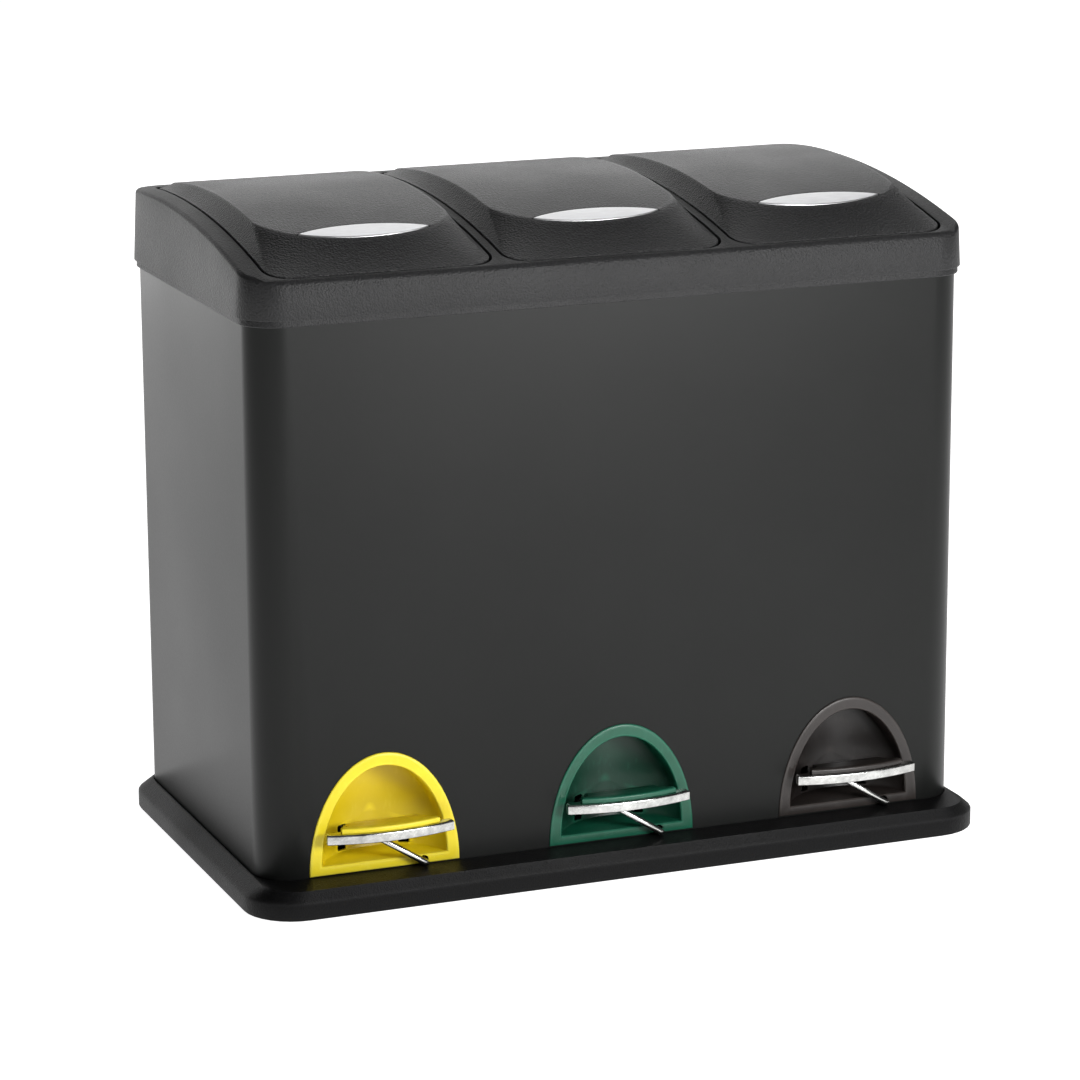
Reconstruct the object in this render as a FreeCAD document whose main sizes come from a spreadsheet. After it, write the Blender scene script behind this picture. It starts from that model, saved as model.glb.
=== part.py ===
import FreeCAD, Part
import math
import os
import re
import Sketcher
from FreeCAD import Placement, Rotation, Vector

# Three-compartment pedal bin.  X runs along the row of compartments, the pedals
# are on the -Y side, Z is up, and the origin is on the floor under the middle
# of the footprint.  All sizes are in millimetres and degrees.

doc = FreeCAD.newDocument("pedal_bin")
sheet = doc.addObject("Spreadsheet::Sheet", "Sizes")
scratch = doc.addObject("Spreadsheet::Sheet", "Scratch")

SIZES = [
    # overall body
    ("shell_width", 580.0),
    ("shell_depth", 310.0),
    ("shell_corner", 27.0),
    ("shell_sheet", 0.8),
    ("shell_low", 21.0),
    ("shell_top", 468.0),
    ("shell_flange", 12.0),
    ("seam_width", 14.0),
    # base tray
    ("base_front_reach", 31.0),
    ("base_back_reach", 13.0),
    ("base_side_reach", 13.5),
    ("base_corner", 40.0),
    ("base_low", 1.0),
    ("base_skirt_top", 13.0),
    ("base_top", 23.6),
    ("base_top_lip", 1.5),
    ("base_front_slope", 3.0),
    ("base_floor", 3.0),
    ("base_wall", 3.0),
    ("base_ring_depth", 9.0),
    ("shell_groove_gap", 0.8),
    ("screw_radius", 1.5),
    ("screw_head_radius", 2.8),
    ("screw_head", 1.6),
    ("screw_tip", 1.6),
    ("screw_spread_x", 100.0),
    ("screw_spread_y", 60.0),
    ("rail_height", 32.0),
    ("rail_thick", 3.0),
    ("rail_spread", 60.0),
    ("foot_radius", 11.0),
    ("foot_height", 3.0),
    # compartments
    ("pedal_pitch", 194.0),
    ("lid_pitch", 186.0),
    # lid frame
    ("frame_low", 445.0),
    ("frame_reach", 4.5),
    ("frame_draft", 2.8),
    ("frame_corner", 31.0),
    ("frame_wall", 2.5),
    ("frame_arc_radius", 915.0),
    ("frame_arc_crest", 508.5),
    ("frame_arc_from_front", 230.0),
    ("frame_edge_round", 3.5),
    ("frame_step", 2.0),
    ("frame_step_height", 5.0),
    ("frame_step_overlap", 2.0),
    ("frame_step_wall", 1.5),
    ("opening_tube", 14.0),
    ("seat_reach", 6.0),
    ("seat_drop", 8.3),
    # lids
    ("lid_half", 87.4),
    ("lid_gap", 2.0),
    ("lid_front_from_shell", 5.5),
    ("lid_corner", 16.0),
    ("lid_wall", 2.5),
    ("lid_lip", 6.0),
    ("lid_border", 1.0),
    ("lid_arc_radius", 660.0),
    ("lid_arc_crest", 517.8),
    ("lid_arc_from_front", 185.0),
    ("crease_inset", 11.5),
    ("crease_bow", 49.0),
    ("crease_from_front", 85.0),
    ("lid_tail", 4.0),
    ("hinge_from_front", 281.0),
    ("hinge_height", 503.2),
    ("hinge_pin_radius", 2.0),
    ("hinge_pin_half", 92.0),
    ("running_gap", 0.06),
    ("stop_gap", 0.3),
    ("lid_turn", 72.0),
    ("lever_arm", 11.0),
    ("lever_thick", 3.0),
    # badges
    ("badge_half", 50.5),
    ("badge_bow_back", 12.5),
    ("badge_thick", 1.2),
    ("badge_proud", 0.5),
    # push rods and crank rods
    ("push_radius", 2.0),
    ("crank_radius", 2.5),
    ("crank_offset", 31.0),
    ("crank_height", 26.8),
    ("crank_arm", 54.0),
    ("crank_rest", 32.7),
    ("crank_turn", 21.6),
    ("crank_front_from_shell", -9.5),
    ("shoe_long", 6.0),
    ("shoe_wide", 12.0),
    ("guide_height_low", 130.0),
    ("guide_height_high", 400.0),
    ("guide_wide", 14.0),
    ("guide_tall", 16.0),
    # recess frames
    ("recess_half", 60.0),
    ("recess_tall", 91.0),
    ("recess_low", 24.4),
    ("recess_rail", 7.2),
    ("recess_border", 10.0),
    ("recess_proud", 1.5),
    ("recess_wall", 2.0),
    ("recess_depth", 33.0),
    ("notch_radius", 4.0),
    ("slot_wide", 8.0),
    ("slot_low", 33.0),
    ("slot_high", 53.5),
    # pedals
    ("pedal_half", 50.5),
    ("pedal_front_end", 16.0),
    ("pedal_bow", 8.0),
    ("pedal_top", 60.5),
    ("pedal_flange", 7.5),
    ("pedal_sheet", 1.5),
    ("pedal_end_deep", 7.0),
    ("pad_half", 39.0),
    ("pad_high", 4.0),
    ("arm_spread", 25.0),
    ("arm_thick", 2.0),
    ("pedal_hinge_from_front", 45.0),
    ("pedal_hinge_height", 44.0),
    ("pedal_eye", 5.5),
    ("pedal_pin_radius", 2.0),
    ("bracket_spread", 20.5),
    ("bracket_sheet", 2.0),
    # buckets
    ("bucket_top_half", 81.0),
    ("bucket_bottom_half", 72.0),
    ("bucket_top_front", 20.0),
    ("bucket_top_back", 249.0),
    ("bucket_bottom_front", 61.0),
    ("bucket_bottom_back", 238.0),
    ("bucket_top", 460.0),
    ("bucket_wall", 2.0),
    ("bucket_corner", 24.0),
    ("rim_reach", 4.5),
    ("rim_height", 5.0),
    ("bail_radius", 2.0),
    ("bail_half", 75.0),
    ("bail_back", 229.0),
    ("bail_from_front", 135.0),
    ("ear_wide", 16.0),
    ("ear_thick", 3.0),
]

for row, (name, number) in enumerate(SIZES, start=1):
    sheet.set("A%d" % row, name)
    sheet.set("B%d" % row, repr(number))
    sheet.setAlias("B%d" % row, name)
doc.recompute()

NAMES = sorted((name for name, number in SIZES), key=len, reverse=True)
NAME_PATTERN = re.compile(r"\b(" + "|".join(NAMES) + r")\b")


def expression(text):
    """Formula text with every size name turned into its spreadsheet cell."""
    return NAME_PATTERN.sub(r"Sizes.\1", text)


def value(text):
    """The number that a formula of size names gives."""
    scratch.set("A1", "=" + expression(text))
    scratch.recompute()
    return float(scratch.get("A1"))


def bind(item, path, text):
    item.setExpression(path, expression(text))


# Places that several pieces share, as formulas of the sizes.
SHELL_FRONT = "(base_front_reach - base_back_reach) / 2 - shell_depth / 2"
SHELL_BACK = "(base_front_reach - base_back_reach) / 2 + shell_depth / 2"
SHELL_HALF = "shell_width / 2"
BASE_HALF = "(shell_width / 2 + base_side_reach)"
BASE_FRONT = "(%s - base_front_reach)" % SHELL_FRONT
BASE_BACK = "(%s + base_back_reach)" % SHELL_BACK
LID_HINGE_Y = "(%s + hinge_from_front)" % SHELL_FRONT
ROD_Y = "(%s - lever_arm)" % LID_HINGE_Y
ROD_LIFT = "(2 * lever_arm * tan(lid_turn / 2))"
CRANK_REACH = "(%s / (2 * tan(crank_turn / 2)))" % ROD_LIFT
ROD_X = "(crank_offset + %s)" % CRANK_REACH
FLOOR_TOP = "(base_low + base_floor)"
BUCKET_LOW = "(base_low + base_floor + rail_height)"
SIDES = [("left", -1), ("middle", 0), ("right", 1)]
COLOURS = {"left": "yellow", "middle": "green", "right": "brown"}

finished = {}


# ---------------------------------------------------------------- sketch tools

def new_body(label):
    body = doc.addObject("PartDesign::Body", label)
    body.Label = label
    return body


def new_sketch(body, label, role, height):
    sketch = body.newObject("Sketcher::SketchObject", label)
    plane = [part for part in body.Origin.OriginFeatures if part.Role == role][0]
    sketch.AttachmentSupport = (plane, [""])
    sketch.MapMode = "FlatFace"
    bind(sketch, "AttachmentOffset.Base.z", height)
    return sketch


def hold_point(sketch, geometry, point, x_text, y_text):
    """Tie one point of a sketch to its place, measured from the sketch's origin."""
    for kind, text in (("DistanceX", x_text), ("DistanceY", y_text)):
        index = sketch.addConstraint(
            Sketcher.Constraint(kind, -1, 1, geometry, point, value(text)))
        sketch.setExpression("Constraints[%d]" % index, expression(text))


def hold_radius(sketch, geometry, text):
    index = sketch.addConstraint(Sketcher.Constraint("Radius", geometry, value(text)))
    sketch.setExpression("Constraints[%d]" % index, expression(text))


def polygon(sketch, corners):
    places = [Vector(value(x_text), value(y_text), 0) for x_text, y_text in corners]
    lines = []
    for start, end in zip(places, places[1:] + places[:1]):
        lines.append(sketch.addGeometry(Part.LineSegment(start, end), False))
    for line, following in zip(lines, lines[1:] + lines[:1]):
        sketch.addConstraint(Sketcher.Constraint("Coincident", line, 2, following, 1))
    for line, (x_text, y_text) in zip(lines, corners):
        hold_point(sketch, line, 1, x_text, y_text)


def rectangle(sketch, low_x, high_x, low_y, high_y):
    polygon(sketch, [(low_x, low_y), (high_x, low_y), (high_x, high_y), (low_x, high_y)])


def rounded_rectangle(sketch, low_x, high_x, low_y, high_y, radius):
    r = value(radius)
    centres = [
        ("%s - (%s)" % (high_x, radius), "%s - (%s)" % (high_y, radius)),
        ("%s + (%s)" % (low_x, radius), "%s - (%s)" % (high_y, radius)),
        ("%s + (%s)" % (low_x, radius), "%s + (%s)" % (low_y, radius)),
        ("%s - (%s)" % (high_x, radius), "%s + (%s)" % (low_y, radius)),
    ]
    arcs = []
    for quarter, (x_text, y_text) in enumerate(centres):
        circle = Part.Circle(Vector(value(x_text), value(y_text), 0), Vector(0, 0, 1), r)
        start = quarter * math.pi / 2
        arcs.append(sketch.addGeometry(Part.ArcOfCircle(circle, start, start + math.pi / 2), False))
    for arc, following in zip(arcs, arcs[1:] + arcs[:1]):
        start = sketch.getPoint(arc, 2)
        end = sketch.getPoint(following, 1)
        line = sketch.addGeometry(Part.LineSegment(start, end), False)
        sketch.addConstraint(Sketcher.Constraint("Tangent", arc, 2, line, 1))
        sketch.addConstraint(Sketcher.Constraint("Tangent", line, 2, following, 1))
    for arc, (x_text, y_text) in zip(arcs, centres):
        hold_point(sketch, arc, 3, x_text, y_text)
        hold_radius(sketch, arc, radius)


def circle(sketch, x_text, y_text, radius):
    centre = Vector(value(x_text), value(y_text), 0)
    ring = sketch.addGeometry(Part.Circle(centre, Vector(0, 0, 1), value(radius)), False)
    hold_point(sketch, ring, 3, x_text, y_text)
    hold_radius(sketch, ring, radius)


def pad(body, sketch, length, symmetric=False, reverse=False):
    feature = body.newObject("PartDesign::Pad", sketch.Label + "_pad")
    feature.Profile = sketch
    bind(feature, "Length", length)
    feature.Reversed = reverse
    if symmetric:
        feature.SideType = "Symmetric"
    doc.recompute()
    return feature


def pocket(body, sketch, length, symmetric=False, reverse=False):
    before = body.Shape.Volume
    feature = body.newObject("PartDesign::Pocket", sketch.Label + "_pocket")
    feature.Profile = sketch
    bind(feature, "Length", length)
    feature.Reversed = reverse
    if symmetric:
        feature.SideType = "Symmetric"
    doc.recompute()
    if body.Shape.Volume > before - 0.01:
        raise RuntimeError("%s cuts nothing" % feature.Label)
    return feature


def loft(body, kind, low, high):
    feature = body.newObject("PartDesign::" + kind, low.Label + "_loft")
    feature.Profile = low
    feature.Sections = [high]
    feature.Ruled = True
    doc.recompute()
    return feature


def cylinder_along_x(label, x_text, y_text, z_text, radius, length):
    """A plain round bar along X, its middle at the given place."""
    bar = doc.addObject("Part::Cylinder", label)
    bar.Label = label
    bind(bar, "Radius", radius)
    bind(bar, "Height", length)
    bar.Placement = Placement(Vector(0, 0, 0), Rotation(Vector(0, 1, 0), 90))
    bind(bar, "Placement.Base.x", "%s - (%s) / 2" % (x_text, length))
    bind(bar, "Placement.Base.y", y_text)
    bind(bar, "Placement.Base.z", z_text)
    return bar


def group(label, pieces):
    """Several loose copies of one small piece, kept as one named group."""
    compound = doc.addObject("Part::Compound", label)
    compound.Label = label
    compound.Links = pieces
    finished[label] = compound
    return compound


def keep(label, item):
    item.Label = label
    finished[label] = item


def shaped(label, shape):
    """A piece whose form needs surfaces that no standard feature makes."""
    feature = doc.addObject("Part::Feature", label)
    feature.Label = label
    feature.Shape = shape
    finished[label] = feature
    return feature


# ------------------------------------------------------------- shape-level tools

def box(low_x, high_x, low_y, high_y, low_z, high_z):
    corner = Vector(low_x, low_y, low_z)
    return Part.makeBox(high_x - low_x, high_y - low_y, high_z - low_z, corner)


def outline_edges(half_x, front, back, front_radius, back_radius, height):
    """Eight edges of a rounded rectangle, anticlockwise from the front line."""
    def corner(centre_x, centre_y, radius, start):
        points = []
        for turn in (start, start + 45, start + 90):
            angle = math.radians(turn)
            points.append(Vector(centre_x + radius * math.cos(angle),
                                 centre_y + radius * math.sin(angle), height))
        return Part.Arc(*points).toShape()

    arcs = [
        corner(half_x - front_radius, front + front_radius, front_radius, 270),
        corner(half_x - back_radius, back - back_radius, back_radius, 0),
        corner(back_radius - half_x, back - back_radius, back_radius, 90),
        corner(front_radius - half_x, front + front_radius, front_radius, 180),
    ]
    ends = [(arc.valueAt(arc.FirstParameter), arc.valueAt(arc.LastParameter)) for arc in arcs]
    edges = []
    for index, arc in enumerate(arcs):
        edges.append(Part.LineSegment(ends[index - 1][1], ends[index][0]).toShape())
        edges.append(arc)
    return edges


def prism(edges, tall):
    face = Part.Face(Part.Wire(edges))
    return face.extrude(Vector(0, 0, tall))


def under_arc(radius, crest_y, crest_z, half_x):
    """Everything below a long arched surface whose rulings run along X."""
    start = Vector(-half_x, crest_y, crest_z - radius)
    return Part.makeCylinder(radius, 2 * half_x, start, Vector(1, 0, 0))


def bent_wire(points, bend, radius):
    """Round wire through the points, each corner bent on one radius."""
    edges = []
    start = points[0]
    for before, corner, after in zip(points, points[1:], points[2:]):
        inward = (before - corner).normalize()
        outward = (after - corner).normalize()
        half = inward.getAngle(outward) / 2
        trim = bend / math.tan(half)
        middle = (inward + outward).normalize()
        centre = corner + middle * (bend / math.sin(half))
        first = corner + inward * trim
        last = corner + outward * trim
        edges.append(Part.LineSegment(start, first).toShape())
        edges.append(Part.Arc(first, centre - middle * bend, last).toShape())
        start = last
    edges.append(Part.LineSegment(start, points[-1]).toShape())
    direction = (points[1] - points[0]).normalize()
    section = Part.Wire([Part.makeCircle(radius, points[0], direction)])
    return Part.Wire(edges).makePipeShell([section], True, False)


# --------------------------------------------------------------------- base tray
# One plastic moulding: a skirt under a sloped shoulder, a flat ledge in front, a
# groove that takes the shell, and a floor with rails that the buckets stand on.

base = new_body("base_tray")
outline = new_sketch(base, "base_outline", "XY_Plane", "base_low")
rounded_rectangle(outline, "-" + BASE_HALF, BASE_HALF, BASE_FRONT, BASE_BACK, "base_corner")
pad(base, outline, "base_skirt_top - base_low")

shoulder_low = new_sketch(base, "base_shoulder_low", "XY_Plane", "base_skirt_top")
rounded_rectangle(shoulder_low, "-" + BASE_HALF, BASE_HALF, BASE_FRONT, BASE_BACK, "base_corner")
shoulder_high = new_sketch(base, "base_shoulder_high", "XY_Plane", "base_top")
rounded_rectangle(
    shoulder_high,
    "-(shell_width / 2 + base_top_lip)", "(shell_width / 2 + base_top_lip)",
    "(%s + base_front_slope)" % BASE_FRONT, "(%s + base_top_lip)" % SHELL_BACK,
    "shell_corner + base_top_lip")
loft(base, "AdditiveLoft", shoulder_low, shoulder_high)

groove = new_sketch(base, "base_groove", "XY_Plane", "base_top")
rounded_rectangle(
    groove,
    "-(shell_width / 2 + shell_groove_gap)", "(shell_width / 2 + shell_groove_gap)",
    "(%s - shell_groove_gap)" % SHELL_FRONT, "(%s + shell_groove_gap)" % SHELL_BACK,
    "shell_corner + shell_groove_gap")
pocket(base, groove, "base_top - shell_low")

well = new_sketch(base, "base_well", "XY_Plane", "shell_low")
rounded_rectangle(
    well,
    "-(shell_width / 2 - shell_flange)", "(shell_width / 2 - shell_flange)",
    "(%s + shell_flange)" % SHELL_FRONT, "(%s - shell_flange)" % SHELL_BACK,
    "shell_corner - shell_flange")
pocket(base, well, "shell_low - (%s)" % FLOOR_TOP)

ring = new_sketch(base, "base_underside_ring", "XY_Plane", "base_low")
rounded_rectangle(
    ring,
    "-(%s - base_wall)" % BASE_HALF, "(%s - base_wall)" % BASE_HALF,
    "(%s + base_wall)" % BASE_FRONT, "(%s - base_wall)" % BASE_BACK,
    "base_corner - base_wall")
rounded_rectangle(
    ring,
    "-(shell_width / 2 - shell_flange + base_wall)",
    "(shell_width / 2 - shell_flange + base_wall)",
    "(%s + shell_flange - base_wall)" % SHELL_FRONT,
    "(%s - shell_flange + base_wall)" % SHELL_BACK,
    "shell_corner - shell_flange + base_wall")
pocket(base, ring, "base_ring_depth", reverse=True)

rails = new_sketch(base, "bucket_rails", "XY_Plane", FLOOR_TOP)
for name, side in SIDES:
    for hand in (-1, 1):
        middle = "(%d * lid_pitch + %d * rail_spread)" % (side, hand)
        rectangle(
            rails,
            "%s - rail_thick / 2" % middle, "%s + rail_thick / 2" % middle,
            "(%s + bucket_bottom_front + bucket_wall)" % SHELL_FRONT,
            "(%s + bucket_bottom_back - bucket_wall)" % SHELL_FRONT)
pad(base, rails, "rail_height")
# Screws from below, heads up against the roof of the hollow skirt.
SCREW_PLACES = []
for hand in (-1, 1):
    side_x = "%d * (shell_width / 2 - shell_flange / 2)" % hand
    for other in (-1, 1):
        SCREW_PLACES.append((side_x, "%d * screw_spread_y" % other))
    SCREW_PLACES.append(("%d * screw_spread_x" % hand, "(%s + shell_flange / 2)" % SHELL_FRONT))
    SCREW_PLACES.append(("%d * screw_spread_x" % hand, "(%s - shell_flange / 2)" % SHELL_BACK))
SCREW_SEAT = "(base_low + base_ring_depth)"
screws = new_body("base_screws")
heads = new_sketch(screws, "screw_heads", "XY_Plane", SCREW_SEAT)
shanks = new_sketch(screws, "screw_shanks", "XY_Plane", SCREW_SEAT)
screw_holes = new_sketch(base, "screw_holes", "XY_Plane", "shell_low")
for x_text, y_text in SCREW_PLACES:
    circle(heads, x_text, y_text, "screw_head_radius")
    circle(shanks, x_text, y_text, "screw_radius")
    circle(screw_holes, x_text, y_text, "screw_radius")
pad(screws, heads, "screw_head", reverse=True)
pad(screws, shanks, "shell_low + shell_sheet + screw_tip - %s" % SCREW_SEAT)
pocket(base, screw_holes, "shell_low - %s" % SCREW_SEAT)
keep("base_screws", screws)
keep("base_tray", base)

# Soft feet pressed on the underside of the floor, near the corners and mid-length.
FOOT_X = "(shell_width / 2 - shell_flange - 2 * foot_radius)"
FOOT_FRONT = "(%s + shell_flange + 2 * foot_radius)" % SHELL_FRONT
FOOT_BACK = "(%s - shell_flange - 2 * foot_radius)" % SHELL_BACK
sockets = new_sketch(base, "foot_sockets", "XY_Plane", "base_low")
feet = new_body("feet")
pads = new_sketch(feet, "feet_outline", "XY_Plane", "0")
for side in (-1, 0, 1):
    for depth in (FOOT_FRONT, FOOT_BACK):
        circle(sockets, "%d * %s" % (side, FOOT_X), depth, "foot_radius + running_gap")
        circle(pads, "%d * %s" % (side, FOOT_X), depth, "foot_radius")
pocket(base, sockets, "foot_height - base_low", reverse=True)
pad(feet, pads, "foot_height")
keep("feet", feet)


# --------------------------------------------------------------- recess outlines
# A recess is half an ellipse standing on its flat side.  These give its outlines
# at the shell's front plane, so that the shell's holes follow the frames.

def half_ellipse(centre_x, half, low, tall, start_y, deep):
    centre = Vector(centre_x, start_y, low)
    top = Vector(centre_x, start_y, low + tall)
    side = Vector(centre_x + half, start_y, low)
    if tall > half:
        curve = Part.Ellipse(top, side, centre)
    else:
        curve = Part.Ellipse(side, top, centre)
    edge = curve.toShape()
    solid = Part.Face(Part.Wire([edge])).extrude(Vector(0, deep, 0))
    room = max(half, tall) + 5
    keep_above = box(centre_x - room, centre_x + room, start_y - 1, start_y + deep + 1,
                     low, low + room)
    return solid.common(keep_above)


shell_front = value(SHELL_FRONT)
shell_back = value(SHELL_BACK)
shell_half = value(SHELL_HALF)
sheet_thick = value("shell_sheet")
recess_wall = value("recess_wall")
recess_low = value("recess_low")
recess_rail = value("recess_rail")
border = value("recess_border")
tube_half = value("recess_half") - border + recess_wall
tube_low = recess_low + recess_rail - recess_wall
tube_tall = value("recess_tall") - recess_rail - border + 2 * recess_wall
slip = 0.4


# ------------------------------------------------------------------- outer shell
# Thin painted sheet folded into a sleeve, closed by a lock seam at the back, with
# a turned-in foot flange and a hole behind each pedal recess.

shell = new_body("shell_sleeve")
sleeve = new_sketch(shell, "sleeve_outline", "XY_Plane", "shell_low")
rounded_rectangle(sleeve, "-" + SHELL_HALF, SHELL_HALF, SHELL_FRONT, "(%s)" % SHELL_BACK,
                  "shell_corner")
pad(shell, sleeve, "shell_top - shell_low")
hollow = new_sketch(shell, "sleeve_inside", "XY_Plane", "shell_top")
rounded_rectangle(
    hollow,
    "-(shell_width / 2 - shell_sheet)", "(shell_width / 2 - shell_sheet)",
    "(%s + shell_sheet)" % SHELL_FRONT, "(%s - shell_sheet)" % SHELL_BACK,
    "shell_corner - shell_sheet")
pocket(shell, hollow, "shell_top - shell_low - shell_sheet")
mouth = new_sketch(shell, "sleeve_bottom", "XY_Plane", "shell_low + 2 * shell_sheet")
rounded_rectangle(
    mouth,
    "-(shell_width / 2 - shell_flange)", "(shell_width / 2 - shell_flange)",
    "(%s + shell_flange)" % SHELL_FRONT, "(%s - shell_flange)" % SHELL_BACK,
    "shell_corner - shell_flange")
pocket(shell, mouth, "3 * shell_sheet")
flange_holes = new_sketch(shell, "flange_holes", "XY_Plane", "shell_low + 2 * shell_sheet")
for x_text, y_text in SCREW_PLACES:
    circle(flange_holes, x_text, y_text, "screw_radius")
pocket(shell, flange_holes, "3 * shell_sheet")
seam = new_sketch(shell, "back_seam", "XY_Plane", "base_top + frame_step_height")
rectangle(seam, "-seam_width / 2", "seam_width / 2",
          "(%s - shell_sheet / 2)" % SHELL_BACK, "(%s + shell_sheet)" % SHELL_BACK)
pad(shell, seam, "frame_low - base_top - 2 * frame_step_height")

cutters = []
for name, side in SIDES:
    middle = side * value("pedal_pitch")
    cutters.append(half_ellipse(middle, tube_half + slip, tube_low - slip,
                                tube_tall + 2 * slip, shell_front - 5, 10))
    notch_start = Vector(middle + value("crank_offset"), shell_front - 5, value("crank_height"))
    cutters.append(Part.makeCylinder(value("notch_radius"), 10, notch_start, Vector(0, 1, 0)))
cut_tool = doc.addObject("Part::Feature", "recess_holes")
cut_tool.Shape = cutters[0].multiFuse(cutters[1:])
outer_shell = doc.addObject("Part::Cut", "outer_shell")
outer_shell.Base = shell
outer_shell.Tool = cut_tool
keep("outer_shell", outer_shell)


# ----------------------------------------------------------------- recess frames
# Coloured plastic toe recesses: a D-shaped border on the shell, and a bowl behind
# it whose back curves in plan, with two slots for the pedal's arms and one round
# notch that the crank rod comes out of.

def recess_frame(middle):
    outer_half = value("recess_half")
    proud = value("recess_proud")
    deep = value("recess_depth")
    bowl_half = outer_half - border
    bowl_low = recess_low + recess_rail
    bowl_tall = value("recess_tall") - recess_rail - border
    flange = half_ellipse(middle, outer_half, recess_low, value("recess_tall"),
                          shell_front - proud, proud)
    tube = half_ellipse(middle, tube_half, tube_low, tube_tall, shell_front - 0.5 * proud,
                        deep + recess_wall + 0.5 * proud)

    def bowed(half, depth):
        """Upright round block that shapes the curved back of the bowl."""
        radius = (half * half + depth * depth) / (2 * depth)
        start = Vector(middle, shell_front + depth - radius, 0)
        return Part.makeCylinder(radius, 200, start)

    outside = tube.common(bowed(tube_half + 1, deep + recess_wall))
    room = half_ellipse(middle, bowl_half, bowl_low, bowl_tall, shell_front - 2 * proud, deep + 9)
    inside = room.common(bowed(bowl_half + 1, deep))
    mouth_room = room.common(box(middle - 99, middle + 99, shell_front - 5, shell_front + 1,
                                 0, 200))
    frame = flange.fuse(outside).cut(inside.fuse(mouth_room))
    slot_half = value("slot_wide") / 2
    for hand in (-1, 1):
        slot_x = middle + hand * value("arm_spread")
        frame = frame.cut(box(slot_x - slot_half, slot_x + slot_half,
                              shell_front + 8, shell_front + deep + 9,
                              value("slot_low"), value("slot_high")))
    notch_start = Vector(middle + value("crank_offset"), shell_front - 5, value("crank_height"))
    frame = frame.cut(Part.makeCylinder(value("notch_radius"), deep + 20, notch_start,
                                        Vector(0, 1, 0)))
    return frame.removeSplitter()


for name, side in SIDES:
    shaped("recess_frame_" + COLOURS[name], recess_frame(side * value("pedal_pitch")))


# --------------------------------------------------------------------- lid frame
# One plastic moulding that caps the shell: a drafted skirt, an arched top border,
# three openings with short walls, thin bars between them, and a seat for each lid.

frame_half = shell_half + value("frame_reach")
frame_front = shell_front - value("frame_reach")
frame_back = shell_back + value("frame_reach")
frame_low = value("frame_low")
frame_wall = value("frame_wall")
frame_corner = value("frame_corner")
arc_y = shell_front + value("frame_arc_from_front")
arc_top = value("frame_arc_crest")
arc_radius = value("frame_arc_radius")
lid_half = value("lid_half")
lid_gap = value("lid_gap")
lid_front = shell_front + value("lid_front_from_shell")
hinge_y = value(LID_HINGE_Y)
hinge_z = value("hinge_height")
lid_back = hinge_y + value("lid_tail")
lid_pitch = value("lid_pitch")
shell_top = value("shell_top")


def arched(drop):
    return under_arc(arc_radius - drop, arc_y, arc_top - drop, shell_half + 60)


def drafted_block(inset, low, high, draft):
    """Rounded block that narrows upwards, between two heights."""
    lean = math.tan(math.radians(draft))
    rings = []
    for height in (low, high):
        shrink = inset + (height - frame_low) * lean
        radius = frame_corner - shrink
        rings.append(Part.Wire(outline_edges(frame_half - shrink, frame_front + shrink,
                                             frame_back - shrink, radius, radius, height)))
    return Part.makeLoft(rings, True, True)


def opening(side, grow, low, high):
    edges = outline_edges(lid_half + lid_gap + grow, lid_front - lid_gap - grow,
                          hinge_y + value("lid_tail") + 2.4 * lid_gap + grow,
                          value("lid_corner") + lid_gap + grow, 4 + grow, low)
    block = prism(edges, high - low)
    block.translate(Vector(side * lid_pitch, 0, 0))
    return block


draft = value("frame_draft")
step = value("frame_step")
skirt = drafted_block(0, frame_low + value("frame_step_height"), arc_top + 9, draft)
step_top = frame_low + value("frame_step_height + frame_step_overlap")
lower = drafted_block(step, frame_low, step_top, 0)
outer = skirt.fuse(lower).removeSplitter().common(arched(0))
rim_edges = [edge for edge in outer.Edges
             if edge.BoundBox.ZMin > frame_low + value("frame_step_height") + 1
             and edge.BoundBox.ZMax - edge.BoundBox.ZMin < 60
             and abs(edge.CenterOfMass.z - (arc_top - 10)) < 60
             and not (edge.BoundBox.DiagonalLength < 70 and edge.BoundBox.ZLength > 25)]
outer = outer.makeFillet(value("frame_edge_round"), rim_edges)
inner = drafted_block(frame_wall, step_top, arc_top + 9, draft).common(arched(3))
inner = inner.fuse(drafted_block(step + value("frame_step_wall"), frame_low - 1, step_top, 0))
walls = None
holes = None
for name, side in SIDES:
    wall_block = opening(side, frame_wall, shell_top - 20, arc_top + 9)
    hole_block = opening(side, 0, frame_low - 20, arc_top + 20)
    walls = wall_block if walls is None else walls.fuse(wall_block)
    holes = hole_block if holes is None else holes.fuse(hole_block)
# the walls round the openings end a little above the shell's edge at the front
walls = walls.cut(arched(value("opening_tube")))
blocks = []
block_half = 9.0
for block_x in (-1.5 * lid_pitch + 60, -0.5 * lid_pitch, 0.5 * lid_pitch, 1.5 * lid_pitch - 60):
    blocks.append(box(block_x - block_half, block_x + block_half,
                      frame_back - frame_wall - 18, frame_back - 1, shell_top, arc_top))
for hand in (-1, 1):
    for block_y in (-60.0, 60.0):
        low_x = min(hand * (shell_half - 9), hand * (frame_half - 1))
        blocks.append(box(low_x, low_x + frame_half - 1 - (shell_half - 9),
                          block_y - block_half, block_y + block_half, shell_top, arc_top))
front_lip = []
for front_x in (-0.5 * lid_pitch, 0.5 * lid_pitch):
    front_lip.append(box(front_x - 3, front_x + 3, frame_front + 1, shell_front + 12,
                         shell_top, shell_top + 20))
lid_frame = outer.cut(inner)
lid_frame = lid_frame.fuse([walls.common(outer)] + [item.common(outer) for item in blocks]
                           + [item.common(outer) for item in front_lip])
lid_frame = lid_frame.cut(holes)
for name, side in SIDES:
    seat = box(side * lid_pitch - 62, side * lid_pitch + 62,
               lid_front - lid_gap - 1, lid_front + value("seat_reach"), shell_top - 20, arc_top)
    lid_frame = lid_frame.fuse(seat.common(arched(value("seat_drop")))
                               .cut(arched(value("opening_tube"))))
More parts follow.
